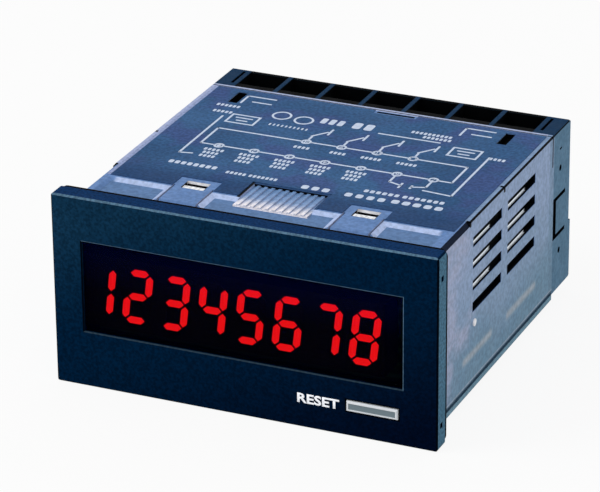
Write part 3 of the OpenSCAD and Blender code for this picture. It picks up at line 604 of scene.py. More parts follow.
@dataclass(frozen=True)
class CasePlastic(Finish):
    """Smoky blue-grey moulding with a hazy flow pattern on its sides, painted highlights on its rims, left
    edges, sills and dots, and painted shade in its openings, its groove and on its right edges.
    """

    side_top: Rgb = (149, 170, 203)
    side_low: Rgb = (113, 147, 172)
    haze: Rgb = (170, 178, 206)
    streak: Rgb = (184, 190, 196)
    rear_band: Rgb = (106, 138, 164)
    rail: Rgb = (112, 150, 170)
    # painted highlight along the lower edge of the side walls
    foot_edge: Rgb = (178, 190, 204)
    # painted shade in the rail's groove and just above it
    groove: Rgb = (72, 98, 120)
    floor: Rgb = (93, 124, 164)
    # painted glint on the raised dots and on the latch windows' rear walls
    dot: Rgb = (248, 248, 252)
    # painted highlight on the sloped rims of the steps
    rim: Rgb = (182, 200, 238)
    # painted light: the left land and left chamfers lit brighter, the right land less
    land_left: Rgb = (168, 180, 216)
    land_right: Rgb = (130, 156, 192)
    lip: Rgb = (176, 188, 222)
    # painted light on the pad: a highlight at its front fading to shade at its rear
    pad_front: Rgb = (255, 250, 255)
    pad_middle: Rgb = (137, 166, 208)
    pad_rear: Rgb = (111, 146, 192)
    film_edge: Rgb = (44, 74, 116)
    # painted shade on the right chamfers and on the sides of the pad's ribs
    edge_dark: Rgb = (12, 24, 46)
    # painted shade in the openings, the vents' insides and the pad's recess
    dark: Rgb = (4, 6, 11)
    # painted highlight on the inner part of the vents' sills
    sill: Rgb = (242, 249, 255)
    side_run: Span = (-10.0, 18.0)
    cloud_lift: float = 12.0
    cloud_stretch: Stretch = (1, 0.6, 1)
    vein_size: float = 2.6
    vein_detail: float = 4.0
    vein_stretch: Stretch = (1, 0.5, 1.5)
    vein_levels: Span = (0.36, 0.6)
    vein_cover: Span = (0.42, 0.85)
    streak_cover: float = 0.72
    rear_cover: float = 0.5
    foot_cover: float = 0.5
    floor_cover: float = 0.6
    pad_fades: tuple[Span, Span] = ((7.8, 12.5), (12.0, 17.0))
    rib_run: Span = (9.0, 17.0)
    rib_cover: Span = (0.9, 0.35)
    rim_slope: Span = (0.88, 0.93)
    rim_soft: float = 0.01
    edge_slope: Span = (0.5, 0.74)
    edge_soft: float = 0.02
    edge_run: Span = (15.0, 16.5)
    haze_band: Region = Region(y=(2.0, 9.8), z=(-4.0, 20.0), soft=2.0, wander=1.8)
    haze_tail: Region = Region(y=(2.0, 7.4), z=(-14.0, 0.0), soft=2.0, wander=1.8)
    haze_top: Region = Region(y=(2.0, 15.0), z=(8.5, 20.0), soft=2.5, wander=1.8)
    haze_spot: Region = Region(y=(3.0, 16.5), z=(-6.0, -1.0), soft=2.0, wander=1.8)
    streak_front: Region = Region(y=(13.0, 27.0), z=(-10.1, -8.9), soft=0.7)
    streak_rear: Region = Region(y=(34.2, 49.0), z=(-10.2, -9.0), soft=0.7)
    rear_edge: Region = Region(y=(55.6, 60.0), soft=0.3)
    foot_line: Region = Region(z=(-14.6, -14.25), soft=0.12)
    rail_strip: Region = Region(z=(-20.0, -15.5))
    rail_groove: Region = Region(x=(33.2, 40.0), z=(-15.53, -14.6), both_sides=True)
    dots: Region = Region(x=(33.85, 40.0), both_sides=True)
    front_nick: Region = Region(x=(32.9, 40.0), y=(15.65, 16.45), z=(15.0, 15.97), both_sides=True)
    rear_nick: Region = Region(x=(32.9, 40.0), y=(32.05, 32.85), z=(15.0, 15.97), both_sides=True)
    pad_area: Region = Region(x=(-7.02, 7.02), y=(7.8, 17.25), z=(14.0, 16.1), soft=0.05)
    pad_sunk: Region = Region(x=(-7.1, 7.1), y=(7.95, 17.3), z=(14.0, 15.97), soft=0.02)
    pad_wall: Region = Region(x=(-7.1, 7.1), y=(17.15, 17.3), z=(14.0, 15.97), soft=0.02)
    pad_land: Region = Region(x=(-7.6, 7.6), y=(10.8, 17.8), z=(15.97, 16.1), soft=0.02)
    pad_line: Region = Region(x=(-7.55, -7.0), y=(8.4, 17.8), z=(15.9, 16.1))
    step_floor: Region = Region(y=(0.0, 10.0), z=(15.2, 15.62))
    rear_lip: Region = Region(y=(56.6, 60.0), z=(15.9, 16.1))
    left_land: Region = Region(x=(-40.0, -32.65), y=(16.0, 60.0), z=(15.9, 16.1))
    right_land: Region = Region(x=(32.65, 40.0), y=(16.0, 60.0), z=(15.9, 16.1))
    rim_reach: Region = Region(x=(-30.6, 30.6), soft=0.5)
    vents: Region = Region(x=(24.0, 33.72), y=(15.0, 56.0), z=(-8.0, 12.8), both_sides=True)
    sill_front: Region = Region(x=(32.9, 33.3), y=(17.0, 26.6), z=(1.0, 12.8), soft=0.05)
    sill_rear: Region = Region(x=(32.9, 33.3), y=(33.8, 44.2), z=(1.0, 12.8), soft=0.05)
    latch_windows: Region = Region(x=(13.8, 18.4), y=(10.7, 14.1), z=(10.0, 15.95), both_sides=True)
    latch_lips: Region = Region(x=(13.9, 18.3), y=(13.5, 14.1), z=(15.42, 15.95), both_sides=True)
    rear_slots: Region = Region(x=(25.3, 27.5), y=(49.9, 55.5), z=(10.0, 15.95), both_sides=True)
    pry_notch: Region = Region(x=(-0.1, 7.5), y=(55.6, 56.5), z=(10.0, 15.95))
    lip_groove: Region = Region(y=(56.9, 57.35), z=(10.0, 15.95))

    def side(self, graph: Graph) -> Socket:
        """Tones a side wall, from paler at the top to darker at the bottom.

        Args:
            graph: the material in the making.

        Returns:
            The colour of the side walls.
        """
        clouds = graph.noise(self.cloud * 2, SOFT_DETAIL, self.cloud_stretch)
        lift = graph.rise(clouds, 0.0, 1.0, 0.0, self.cloud_lift * MM)
        height = graph.maths("ADD", graph.along(Axis.Z), lift)
        shade = graph.rise(height, *(stop * MM for stop in self.side_run))
        tone = graph.fade(shade, self.side_low, self.side_top)
        hazy = graph.fields(self.haze_band, self.haze_tail, self.haze_top, self.haze_spot)
        flow = graph.noise(self.vein_size, self.vein_detail, self.vein_stretch)
        veins = graph.rise(flow, *self.vein_levels, *self.vein_cover)
        tone = graph.paint(tone, graph.product(hazy, veins), self.haze)
        streaks = graph.fields(self.streak_front, self.streak_rear)
        tone = graph.paint(tone, streaks, self.streak, self.streak_cover)
        tone = graph.paint(tone, graph.field(self.rear_edge), self.rear_band, self.rear_cover)
        # painted highlight along the side's lower edge
        tone = graph.paint(tone, graph.field(self.foot_line), self.foot_edge, self.foot_cover)
        return graph.paint(tone, graph.field(self.rail_strip), self.rail)

    def pad(self, graph: Graph, tone: Socket) -> Socket:
        """Lays the pad's painted light over the roof: a highlight at its front fading to shade at its rear,
        and painted shade on its ribs' sides, its rear wall and its left edge.

        Args:
            graph: the material in the making.
            tone: the colour of the roof round it.

        Returns:
            The colour with the pad in it.
        """
        first, second = (graph.passed(Axis.Y, *run) for run in self.pad_fades)
        fade = graph.paint(graph.fade(first, self.pad_front, self.pad_middle), second, self.pad_rear)
        tone = graph.blend(graph.field(self.pad_area), tone, fade)
        cover = graph.rise(graph.along(Axis.Y), *(stop * MM for stop in self.rib_run), *self.rib_cover)
        ribs = graph.product(graph.field(self.pad_sunk), graph.facing(Axis.X, STEEP, Sense.BOTH), cover)
        # painted shade on the ribs' sides, the pad's rear wall and its left edge
        tone = graph.paint(tone, ribs, self.edge_dark)
        tone = graph.paint(tone, graph.field(self.pad_land), self.film_edge)
        return graph.paint(tone, graph.fields(self.pad_wall, self.pad_line), self.dark)

    def roof(self, graph: Graph) -> Socket:
        """Tones the roof with its pad, its rear lip, and painted highlights on the lands beside the film and
        on the rims of the steps.

        Args:
            graph: the material in the making.

        Returns:
            The colour of the roof.
        """
        tone = graph.paint(super().tones(graph), graph.field(self.step_floor), self.floor, self.floor_cover)
        tone = self.pad(graph, tone)
        # painted light on the lands beside the film
        for region, colour in ((self.rear_lip, self.lip), (self.left_land, self.land_left),
                               (self.right_land, self.land_right)):
            tone = graph.paint(tone, graph.field(region), colour)
        # painted highlight on the rims' slopes
        slopes = graph.within(graph.along(Axis.Z, graph.normal), self.rim_slope, self.rim_soft)
        return graph.paint(tone, graph.product(slopes, graph.field(self.rim_reach)), self.rim)

    def tones(self, graph: Graph) -> Socket:
        """Puts the roof and the sides together, with painted highlights and shade on the edges, painted shade
        in the openings and the groove, and painted highlights on the vents' sills and glints on the dots.
        """
        tone = graph.blend(graph.facing(Axis.X, SQUARE_ON, Sense.BOTH), self.roof(graph), self.side(graph))
        # painted shade on the right chamfers
        slanted = graph.within(graph.along(Axis.Z, graph.normal), self.edge_slope, self.edge_soft)
        edge = graph.fade(graph.passed(Axis.Y, *self.edge_run), self.edge_dark, self.dark)
        right, left = (graph.facing(Axis.X, SLANTED, sense) for sense in (Sense.ALONG, Sense.BACK))
        tone = graph.blend(graph.product(slanted, right), tone, edge)
        # painted highlight on the left chamfers
        tone = graph.paint(tone, graph.product(slanted, left), self.land_left)
        # painted shade in the rail's groove
        tone = graph.paint(tone, graph.field(self.rail_groove), self.groove)
        # painted glint on the raised dots
        tone = graph.paint(tone, graph.field(self.dots), self.dot)
        # painted shade in the openings
        openings = graph.fields(self.vents, self.latch_windows, self.rear_slots, self.pry_notch,
                                self.lip_groove, self.front_nick, self.rear_nick)
        tone = graph.paint(tone, openings, self.dark)
        # painted highlight on the sills of the upper vent rows
        sills = graph.fields(self.sill_front, self.sill_rear)
        tone = graph.paint(tone, graph.product(sills, graph.facing(Axis.Z, STEEP)), self.sill)
        # painted glint on the latch windows' rear walls
        return graph.paint(tone, graph.field(self.latch_lips), self.dot)


@dataclass(frozen=True)
class BlockPlastic(Finish):
    """Slate terminal moulding with painted shade, near black, in its bays and slots and on its part inside
    the case, and dark blue crests.
    """

    # painted shade inside the bays, the slots and the part that plugs into the case
    dark: Rgb = (3, 4, 6)
    crest: Rgb = (25, 54, 84)
    rear: Rgb = (58, 82, 106)
    pitch: float = 8.557
    rib_half: float = 0.45
    rib_place: float = 0.5
    rib_soft: float = 0.01
    inside: Region = Region(x=(-33.77, 33.77), y=(57.85, 100.0), z=(-15.3, 15.9), soft=0.015)
    plug: Region = Region(y=(0.0, 57.75))
    above: Region = Region(z=(15.9, 20.0))
    ends: Region = Region(x=(30.35, 40.0), both_sides=True, soft=0.05)
    rear_wall: Region = Region(y=(66.0, 100.0), soft=0.1)

    def tones(self, graph: Graph) -> Socket:
        """Paints shade on all that lies inside, and leaves the crests of the ribs and the ends."""
        tone = graph.paint(super().tones(graph), graph.fields(self.inside, self.plug), self.dark)
        half = self.rib_half / self.pitch
        share = (self.rib_place - half, self.rib_place + half)
        ribs = graph.within(graph.steps(Axis.X, self.pitch), share, self.rib_soft)
        crest = graph.fade(graph.either(ribs, graph.field(self.ends)), self.dark, self.crest)
        tone = graph.blend(graph.field(self.above), tone, crest)
        rear = graph.product(graph.field(self.rear_wall), graph.facing(Axis.Y, STEEP))
        return graph.paint(tone, rear, self.rear)


@dataclass(frozen=True)
class KeyPlastic(Finish):
    """Pale key whose sunk face is greyer than its rim."""

    face: Rgb = (114, 130, 138)
    dish: Region = Region(x=(19.8, 28.4), z=(-12.75, -11.65), soft=0.06)

    def tones(self, graph: Graph) -> Socket:
        """Greys the face inside the rim."""
        return graph.paint(super().tones(graph), graph.field(self.dish), self.face)


@dataclass(frozen=True)
class PrintedFilm(Finish):
    """Dark blue satin film: indigo clouds, a darker front, a painted highlight along its left edge, and
    rolling marks along X.
    """

    grain_stretch: Stretch = (0.15, 1, 1)
    front: Rgb = (40, 70, 112)
    tint: Rgb = (66, 80, 134)
    # painted highlight along the film's left edge
    margin: Rgb = (150, 164, 204)
    left_margin: Region = Region(x=(-40.0, -32.05), soft=0.08)
    front_run: Span = (13.0, 22.0)
    tint_size: float = 9.0
    tint_levels: Span = (0.46, 0.62)
    tint_cover: float = 0.6

    def tones(self, graph: Graph) -> Socket:
        """Clouds the film, darkens its front edge and paints a highlight along its left edge."""
        clouds = graph.rise(graph.noise(self.tint_size, SOFT_DETAIL), *self.tint_levels)
        tone = graph.paint(super().tones(graph), clouds, self.tint, self.tint_cover)
        tone = graph.blend(graph.passed(Axis.Y, *self.front_run), linear(self.front), tone)
        return graph.paint(tone, graph.field(self.left_margin), self.margin)


@dataclass(frozen=True)
class SmokedLens(Finish):
    """Black see-through lens with a painted blue reflection towards its top."""

    opacity: float = 0.5
    # painted reflection: a blue sheen towards the lens's top
    cast: Rgb = (0, 2, 36)
    cast_run: Span = (0.0, 10.0)

    def tones(self, graph: Graph) -> Socket:
        """Fades the painted blue reflection in towards the top."""
        return graph.paint(super().tones(graph), graph.passed(Axis.Z, *self.cast_run), self.cast)

    def extras(self, graph: Graph, tone: Socket) -> None:
        """Lets part of the light behind the lens through."""
        graph.set("Alpha", self.opacity)


@dataclass(frozen=True)
class LitSegment(Finish):
    """Diffused red light window, lit from behind."""

    light: Rgba = (1.0, 0.0065, 0.0085, 1.0)
    strength: float = 2.95

    def extras(self, graph: Graph, tone: Socket) -> None:
        """Lights the window."""
        graph.set("Emission Color", self.light)
        graph.set("Emission Strength", self.strength)


@dataclass(frozen=True)
class Laminate(Finish):
    """Board laminate with rows of tracks under its lacquer."""

    track: Rgb = (40, 110, 70)
    pitch: float = 2.54
    across: Axis = Axis.Z
    track_share: Span = (0.3, 0.62)
    track_soft: float = 0.03
    break_size: float = 7.0
    break_detail: float = 1.0
    break_levels: Span = (0.44, 0.5)

    def tones(self, graph: Graph) -> Socket:
        """Lays tracks over the laminate, broken by noise."""
        tracks = graph.within(graph.steps(self.across, self.pitch), self.track_share, self.track_soft)
        broken = graph.rise(graph.noise(self.break_size, self.break_detail), *self.break_levels)
        return graph.paint(super().tones(graph), graph.product(tracks, broken), self.track)


@dataclass(frozen=True)
class VentBoard(Laminate):
    """Pale board behind the vents, bare in short strips and with painted shade elsewhere."""

    # painted shade over the board outside the strips
    dark: Rgb = (2, 3, 4)
    front_field: Region = Region(y=(15.0, 32.4), z=(-0.5, 14.0), soft=0.6, wander=0.5)
    rear_field: Region = Region(y=(39.5, 49.8), z=(-0.5, 14.0), soft=0.6, wander=0.5)
    strip_start: float = 7.6
    strip_pitch: float = 4.1
    strip_share: Span = (0.03, 0.205)
    strip_soft: float = 0.02

    def tones(self, graph: Graph) -> Socket:
        """Leaves the laminate only in strips, in a front field and a rear one, and paints shade over the
        rest.
        """
        bare = graph.fields(self.front_field, self.rear_field)
        rows = graph.steps(Axis.Z, self.strip_pitch, self.strip_start)
        strips = graph.within(rows, self.strip_share, self.strip_soft)
        return graph.blend(graph.product(bare, strips), linear(self.dark), super().tones(graph))


@dataclass(frozen=True)
class StackedSteel(Finish):
    """Transformer core: a stack of thin sheets whose edges show as lines."""

    sheet: float = 0.5

    def height(self, graph: Graph) -> Socket:
        """Marks the joints between the sheets."""
        return graph.steps(Axis.Y, self.sheet)


@dataclass(frozen=True)
class BrushedMetal(Finish):
    """Plated metal with fine scratches drawn out along X."""

    grain_detail: float = 3.0
    grain_stretch: Stretch = (0.08, 1, 1)


class Bench:
    """The modelling steps that the printed marks share, on Blender's own operators."""

    CLIPPED_SHARE = 0.3
    CLIPPED_STEPS = 2
    RING_SIDES = 28
    CURVE_STEPS = 3
    MERGE_DISTANCE = 1e-5

    @staticmethod
    def clear() -> None:
        """Deselects everything."""
        bpy.ops.object.select_all(action="DESELECT")

    @staticmethod
    def thicken(thickness: float) -> None:
        """Raises the selected flat faces into a closed film and leaves edit mode.

        Args:
            thickness: the film's thickness in millimetres.
        """
        bpy.ops.mesh.select_all(action="SELECT")
        bpy.ops.mesh.extrude_region_move(TRANSFORM_OT_translate={"value": (0, 0, thickness * MM)})
        bpy.ops.mesh.select_all(action="SELECT")
        bpy.ops.mesh.normals_make_consistent(inside=False)
        bpy.ops.object.mode_set(mode="OBJECT")

    @staticmethod
    def plate(size: Point) -> None:
        """Starts a flat rectangle round the origin, in edit mode.

        Args:
            size: its length and width in millimetres.
        """
        Bench.clear()
        bpy.ops.mesh.primitive_plane_add(size=1, enter_editmode=True)
        bpy.ops.transform.resize(value=(size[0] * MM, size[1] * MM, 1))

    @staticmethod
    def outline(line: float, thickness: float) -> bpy.types.Object:
        """Leaves only the outer line of the face in hand, and thickens it.

        Args:
            line: the width of the line in millimetres.
            thickness: the film's thickness in millimetres.

        Returns:
            The outline.
        """
        bpy.ops.mesh.inset(thickness=line * MM)
        bpy.ops.mesh.delete(type="FACE")
        Bench.thicken(thickness)
        return bpy.context.object

    @staticmethod
    def bar(size: Point, thickness: float) -> bpy.types.Object:
        """Models a bar of ink with clipped corners, round the origin.

        Args:
            size: its length and width in millimetres.
            thickness: the film's thickness in millimetres.

        Returns:
            The bar.
        """
        Bench.plate(size)
        bpy.ops.mesh.bevel(offset=min(size) * MM * Bench.CLIPPED_SHARE, segments=Bench.CLIPPED_STEPS,
                           affect="VERTICES")
        Bench.thicken(thickness)
        return bpy.context.object

    @staticmethod
    def frame_of(size: Point, line: float, thickness: float) -> bpy.types.Object:
        """Models a rectangular outline, round the origin.

        Args:
            size: its length and width in millimetres.
            line: the width of its line in millimetres.
            thickness: the film's thickness in millimetres.

        Returns:
            The outline.
        """
        Bench.plate(size)
        return Bench.outline(line, thickness)

    @staticmethod
    def ring(radius: float, line: float, thickness: float) -> bpy.types.Object:
        """Models a ring, round the origin.

        Args:
            radius: its outer radius in millimetres.
            line: the width of its line in millimetres.
            thickness: the film's thickness in millimetres.

        Returns:
            The ring.
        """
        Bench.clear()
        bpy.ops.mesh.primitive_circle_add(vertices=Bench.RING_SIDES, radius=radius * MM, fill_type="NGON",
                                          enter_editmode=True)
        return Bench.outline(line, thickness)

    @staticmethod
    def lettering(words: str, size: Point, weight: float, thickness: float) -> bpy.types.Object:
        """Models plain letters or figures, round the origin.

        Args:
            words: what they say.
            size: the length and height they fill, in millimetres.
            weight: how much their strokes are thickened, as a share of their height.
            thickness: the film's thickness in millimetres.

        Returns:
            The letters as a mesh.
        """
        Bench.clear()
        bpy.ops.object.text_add()
        text = bpy.context.object
        text.data.body = words
        text.data.offset = weight
        text.data.resolution_u = Bench.CURVE_STEPS
        bpy.ops.object.convert(target="MESH")
        made = bpy.context.object
        bpy.ops.object.mode_set(mode="EDIT")
        bpy.ops.mesh.select_all(action="SELECT")
        bpy.ops.mesh.remove_doubles(threshold=Bench.MERGE_DISTANCE)
        bpy.ops.object.mode_set(mode="OBJECT")
        low, high = Bench.reach(made)
        made.scale = (size[0] * MM / (high.x - low.x), size[1] * MM / (high.y - low.y), 1)
        bpy.ops.object.transform_apply(location=False, rotation=False, scale=True)
        low, high = Bench.reach(made)
        made.location = -(low + high) / 2
        bpy.ops.object.transform_apply(location=True, rotation=False, scale=False)
        bpy.ops.object.mode_set(mode="EDIT")
        Bench.thicken(thickness)
        return made

    @staticmethod
    def reach(piece: bpy.types.Object) -> tuple[Vector, Vector]:
        """Finds the lowest and highest corners of a mesh.

        Args:
            piece: the object whose mesh is measured.

        Returns:
            The two corners in the object's own coordinates.
        """
        points = [vertex.co for vertex in piece.data.vertices]
        low, high = ([pick(point[axis.value] for point in points) for axis in Axis] for pick in (min, max))
        return Vector(low), Vector(high)

    @staticmethod
    def copy(piece: bpy.types.Object) -> bpy.types.Object:
        """Copies a piece, with a mesh of its own.

        Args:
            piece: the piece that repeats.

        Returns:
            The copy.
        """
        twin = piece.copy()
        twin.data = piece.data.copy()
        bpy.context.collection.objects.link(twin)
        return twin

    @staticmethod
    def put(piece: bpy.types.Object, place: Sequence[float], facing: Facing,
            turn: float = 0.0) -> bpy.types.Object:
        """Puts a flat piece in its place, and keeps that place in its mesh.

        Args:
            piece: the piece, modelled round the origin.
            place: where its middle goes, in millimetres.
            facing: the way it faces.
            turn: how far it turns in its own plane first, in degrees.

        Returns:
            The same piece.
        """
        Bench.clear()
        piece.select_set(True)
        bpy.context.view_layer.objects.active = piece
        tilt, roll, heading = facing.value
        piece.rotation_euler = (math.radians(tilt), math.radians(roll), math.radians(heading + turn))
        piece.location = [part * MM for part in place]
        bpy.ops.object.transform_apply(location=True, rotation=True, scale=False)
        return piece

    @staticmethod
    def join(name: str, pieces: Sequence[bpy.types.Object]) -> bpy.types.Object:
        """Joins marks into one named piece.

        Args:
            name: the name of the piece.
            pieces: the marks.

        Returns:
            The joined piece.
        """
        Bench.clear()
        for piece in pieces:
            piece.select_set(True)
        bpy.context.view_layer.objects.active = pieces[0]
        if len(pieces) > 1:
            bpy.ops.object.join()
        made = bpy.context.object
        made.name = name
        made.data.name = name
        return made


class Assembly:
    """A sub-assembly of the counter."""

    @staticmethod
    def coat(finish: Finish, *nodes: str) -> None:
        """Gives a finish to CAD nodes.

        Args:
            finish: the finish.
            *nodes: the names of the nodes.
        """
        material = finish.build()
        for name in nodes:
            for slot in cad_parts[name].material_slots:
                slot.material = material
            LOG.info("finish %s on %s", finish.name, name)

    @staticmethod
    def settle(piece: bpy.types.Object, finish: bpy.types.Material, body: Body) -> None:
        """Gives a new piece its finish and the body that it rides on.

        Args:
            piece: the new piece.
            finish: its material.
            body: the body that carries it.
        """
        piece.data.materials.clear()
        piece.data.materials.append(finish)
        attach(piece, body.value)
        LOG.info("piece %s, %d faces, on %s", piece.name, len(piece.data.polygons), body.value)


@dataclass
class FrontPanel(Assembly):
    """The bezel with its smoked window, the reset key, the gasket and the key's lettering."""

    letter_size: Point = (7.8, 1.85)
    letter_centre: Point = (14.1, -12.4)
    letter_weight: float = 0.03
    ink_thickness: float = 0.02

    def dress(self) -> None:
        """Coats the mouldings of the front."""
        self.coat(BezelPlastic("navy_moulding", (17, 51, 76), (14, 46, 70), cloud=9, roughness=0.5,
                               specular=0.006, grain=0.16, depth=0.004, edge=0.1, speck=0.5, swing=0.3),
                  "front_bezel")
        self.coat(SmokedLens("smoked_lens", (0, 0, 13), (0, 0, 9), cloud=20, roughness=0.09, unevenness=0.02,
                             specular=0.01, grain=3.0, depth=0.002), "display_window")
        self.coat(KeyPlastic("pale_key", (232, 236, 240), (222, 228, 234), cloud=3, roughness=0.42,
                             specular=0.2, depth=0.003, edge=0.06), "reset_key")
        self.coat(Finish("black_gasket", (4, 5, 7), (8, 9, 11), cloud=1.5, roughness=0.8, specular=0.02,
                         grain=0.3, depth=0.02), "panel_gasket")

    def build(self) -> None:
        """Prints the key's word beside it."""
        # painted light: the letters glow a little though they are no lamp
        ink = Finish("white_ink", (246, 248, 252), (236, 240, 246), cloud=0.6, roughness=0.6, specular=0.1,
                     grain=0.1, depth=0.002, glow=0.25).build()
        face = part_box("front_bezel")[0].y / MM
        word = Bench.lettering("RESET", self.letter_size, self.letter_weight, self.ink_thickness)
        across, up = self.letter_centre
        Bench.put(word, (across, face, up), Facing.FRONT)
        self.settle(Bench.join("reset_lettering", [word]), ink, Body.HOUSING)


@dataclass(frozen=True)
class Caption:
    """A row of letter-sized blocks of ink; sizes are in millimetres.

    Attributes:
        across: the X of its middle.
        depth: the Y of its middle.
        count: how many blocks it has.
        letter: the width and height of a block.
        pitch: the distance from one block to the next.
    """

    across: float
    depth: float
    count: int
    letter: Point = (0.54, 1.05)
    pitch: float = 0.8

    def places(self) -> list[float]:
        """Gives the X of each block."""
        return [self.across + (place - (self.count - 1) / 2) * self.pitch for place in range(self.count)]


@dataclass
class CaseShell(Assembly):
    """The case with its film and the terminal diagram that is printed on it; sizes are in millimetres."""

    ink_thickness: float = 0.02
    line: float = 0.42
    overrun: float = 0.6
    columns: int = 7
    column_start: float = -19.9
    column_pitch: float = 6.87
    front_row: float = 30.3
    rear_row: float = 37.8
    rear_columns: range = range(2, 6)
    ring_radius: float = 1.0
    figure_widths: Point = (0.75, 1.2)
    figure_height: float = 1.15
    figure_weight: float = 0.01
    loop_ends: Point = (-23.5, 24.8)
    outer_ends: Point = (-25.2, 26.8)
    outer_feet: Point = (-22.8, 21.3)
    outer_reach: Span = (24.8, 43.4)
    foot_lift: float = 0.5
    stub: float = 1.6
    blade: tuple[Point, Point] = ((-0.2, 1.8), (1.9, 4.6))
    contact: tuple[Point, Point] = ((2.3, 3.4), (2.3, 6.0))
    source_half: float = 1.0
    source_lead: tuple[float, float] = (2.6, 3.4)
    source_plates: tuple[Span, Span] = ((-4.5, -2.4), (-4.1, -2.8))
    corner_marks: tuple[Point, ...] = ((-22.0, 50.4), (20.9, 51.1))
    corner_half: float = 2.8
    corner_depth: float = 3.6
    corner_parts: int = 3
    fields: tuple[Point, ...] = ((-21.0, 43.05), (22.0, 43.6))
    field_size: Point = (5.8, 4.2)
    field_rows: tuple[Point, ...] = ((0.55, 0.3), (0.35, -0.3))
    plain_rings: tuple[Point, ...] = ((-15.2, 47.5), (-10.6, 46.9))
    plain_radius: float = 1.9
    front_lines: tuple[tuple[float, int], ...] = ((28.1, 5), (26.6, 4), (25.1, 4))
    rear_lines: tuple[tuple[float, int], ...] = ((-5.9, 4), (1.1, 4), (7.5, 5), (14.3, 5))
    rear_line: float = 35.0
    rule: tuple[Point, Point] = ((4.3, 46.4), (16.2, 46.4))
    captions_alone: tuple[Caption, ...] = (
        Caption(-20.5, 20.6, 8, (0.85, 1.3), 1.2), Caption(-11.8, 19.8, 5), Caption(-6.6, 19.8, 7),
        Caption(3.8, 18.9, 3, (1.3, 1.55), 1.95), Caption(13.2, 18.7, 4, (1.3, 1.55), 2.05),
        Caption(22.8, 18.9, 5, (1.4, 1.55), 2.0), Caption(15.2, 21.4, 6, (0.8, 1.15), 1.14),
        Caption(23.0, 21.4, 7, (0.8, 1.15), 1.14), Caption(-26.3, 48.3, 6), Caption(-26.1, 45.3, 5),
        Caption(-12.0, 43.0, 10, (0.34, 0.9)), Caption(-5.4, 48.1, 3, (1.1, 2.4), 1.65),
        Caption(0.6, 48.2, 2, (1.6, 2.8), 2.3), Caption(13.4, 49.4, 10), Caption(15.0, 47.9, 7),
        Caption(28.4, 43.0, 4))

    def dress(self) -> None:
        """Coats the case and its film."""
        self.coat(CasePlastic("smoky_case", (109, 142, 194), (102, 135, 186), cloud=5, roughness=0.45,
                              specular=0.03, grain=0.2, depth=0.004, edge=0.12, speck=0.8, swing=0.14),
                  "case")
        self.coat(PrintedFilm("dark_film", (46, 82, 124), (62, 100, 144), cloud=16, roughness=0.55,
                              specular=0.03, grain=0.5, depth=0.002, speck=0.6, swing=0.22),
                  "diagram_label")

    def column(self, place: int) -> float:
        """Gives the X of a terminal's column in the diagram."""
        return self.column_start + place * self.column_pitch

    def terminals(self) -> list[Point]:
        """Gives the X and Y of each terminal's ring, the front row first."""
        front = [(self.column(place), self.front_row) for place in range(self.columns)]
        return front + [(self.column(place), self.rear_row) for place in self.rear_columns]

    def roof(self) -> float:
        """Gives the height of the film's face."""
        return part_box("diagram_label")[1].z / MM

    def stroke(self, start: Point, end: Point) -> bpy.types.Object:
        """Prints a straight line on the roof, a little past its ends so that lines meet.

        Args:
            start: where it starts, as X and Y.
            end: where it ends.

        Returns:
            The line.
        """
        run = (end[0] - start[0], end[1] - start[1])
        made = Bench.bar((math.hypot(*run) + self.line * self.overrun, self.line), self.ink_thickness)
        middle = ((start[0] + end[0]) / 2, (start[1] + end[1]) / 2, self.roof())
        return Bench.put(made, middle, Facing.ROOF, math.degrees(math.atan2(run[1], run[0])))

    def path(self, points: Sequence[Point]) -> list[bpy.types.Object]:
        """Prints a line through points.

        Args:
            points: the points, as X and Y.

        Returns:
            The straight lines that make it.
        """
        return [self.stroke(first, second) for first, second in zip(points, points[1:])]

    def wiring(self) -> list[bpy.types.Object]:
        """Prints the lines of the diagram.

        Returns:
            The lines.
        """
        left, right = self.loop_ends
        gap = self.ring_radius
        marks = self.path([(left, self.front_row), (left, self.rear_row)])
        marks += self.path([(right, self.front_row), (right, self.rear_row)])
        for row, used in ((self.front_row, range(self.columns)), (self.rear_row, self.rear_columns)):
            middles = [self.column(place) for place in used]
            stops = [left, *(edge for middle in middles for edge in (middle - gap, middle + gap)), right]
            marks += [self.stroke((start, row), (end, row)) for start, end in zip(stops[::2], stops[1::2])]
        low, high = self.outer_reach
        for outer, foot in zip(self.outer_ends, self.outer_feet):
            marks += self.path([(foot, low + self.foot_lift), (outer, low), (outer, high)])
        for place in self.rear_columns:
            across, foot = self.column(place), self.rear_row + gap
            for ends in (((0, 0), (0, self.stub)), self.blade, self.contact):
                marks.append(self.stroke(*((across + aside, foot + rise) for aside, rise in ends)))
        pair = (self.column(self.columns - 2), self.column(self.columns - 1))
        front = self.front_row - gap
        for lead, side, plate in zip(pair, (-1, 1), self.source_plates):
            end = sum(pair) / 2 + side * self.source_half
            turn, stop = (front - drop for drop in self.source_lead)
            marks += self.path([(lead, front), (lead, turn), (end, stop)])
            marks.append(self.stroke((end, front + plate[0]), (end, front + plate[1])))
        return marks

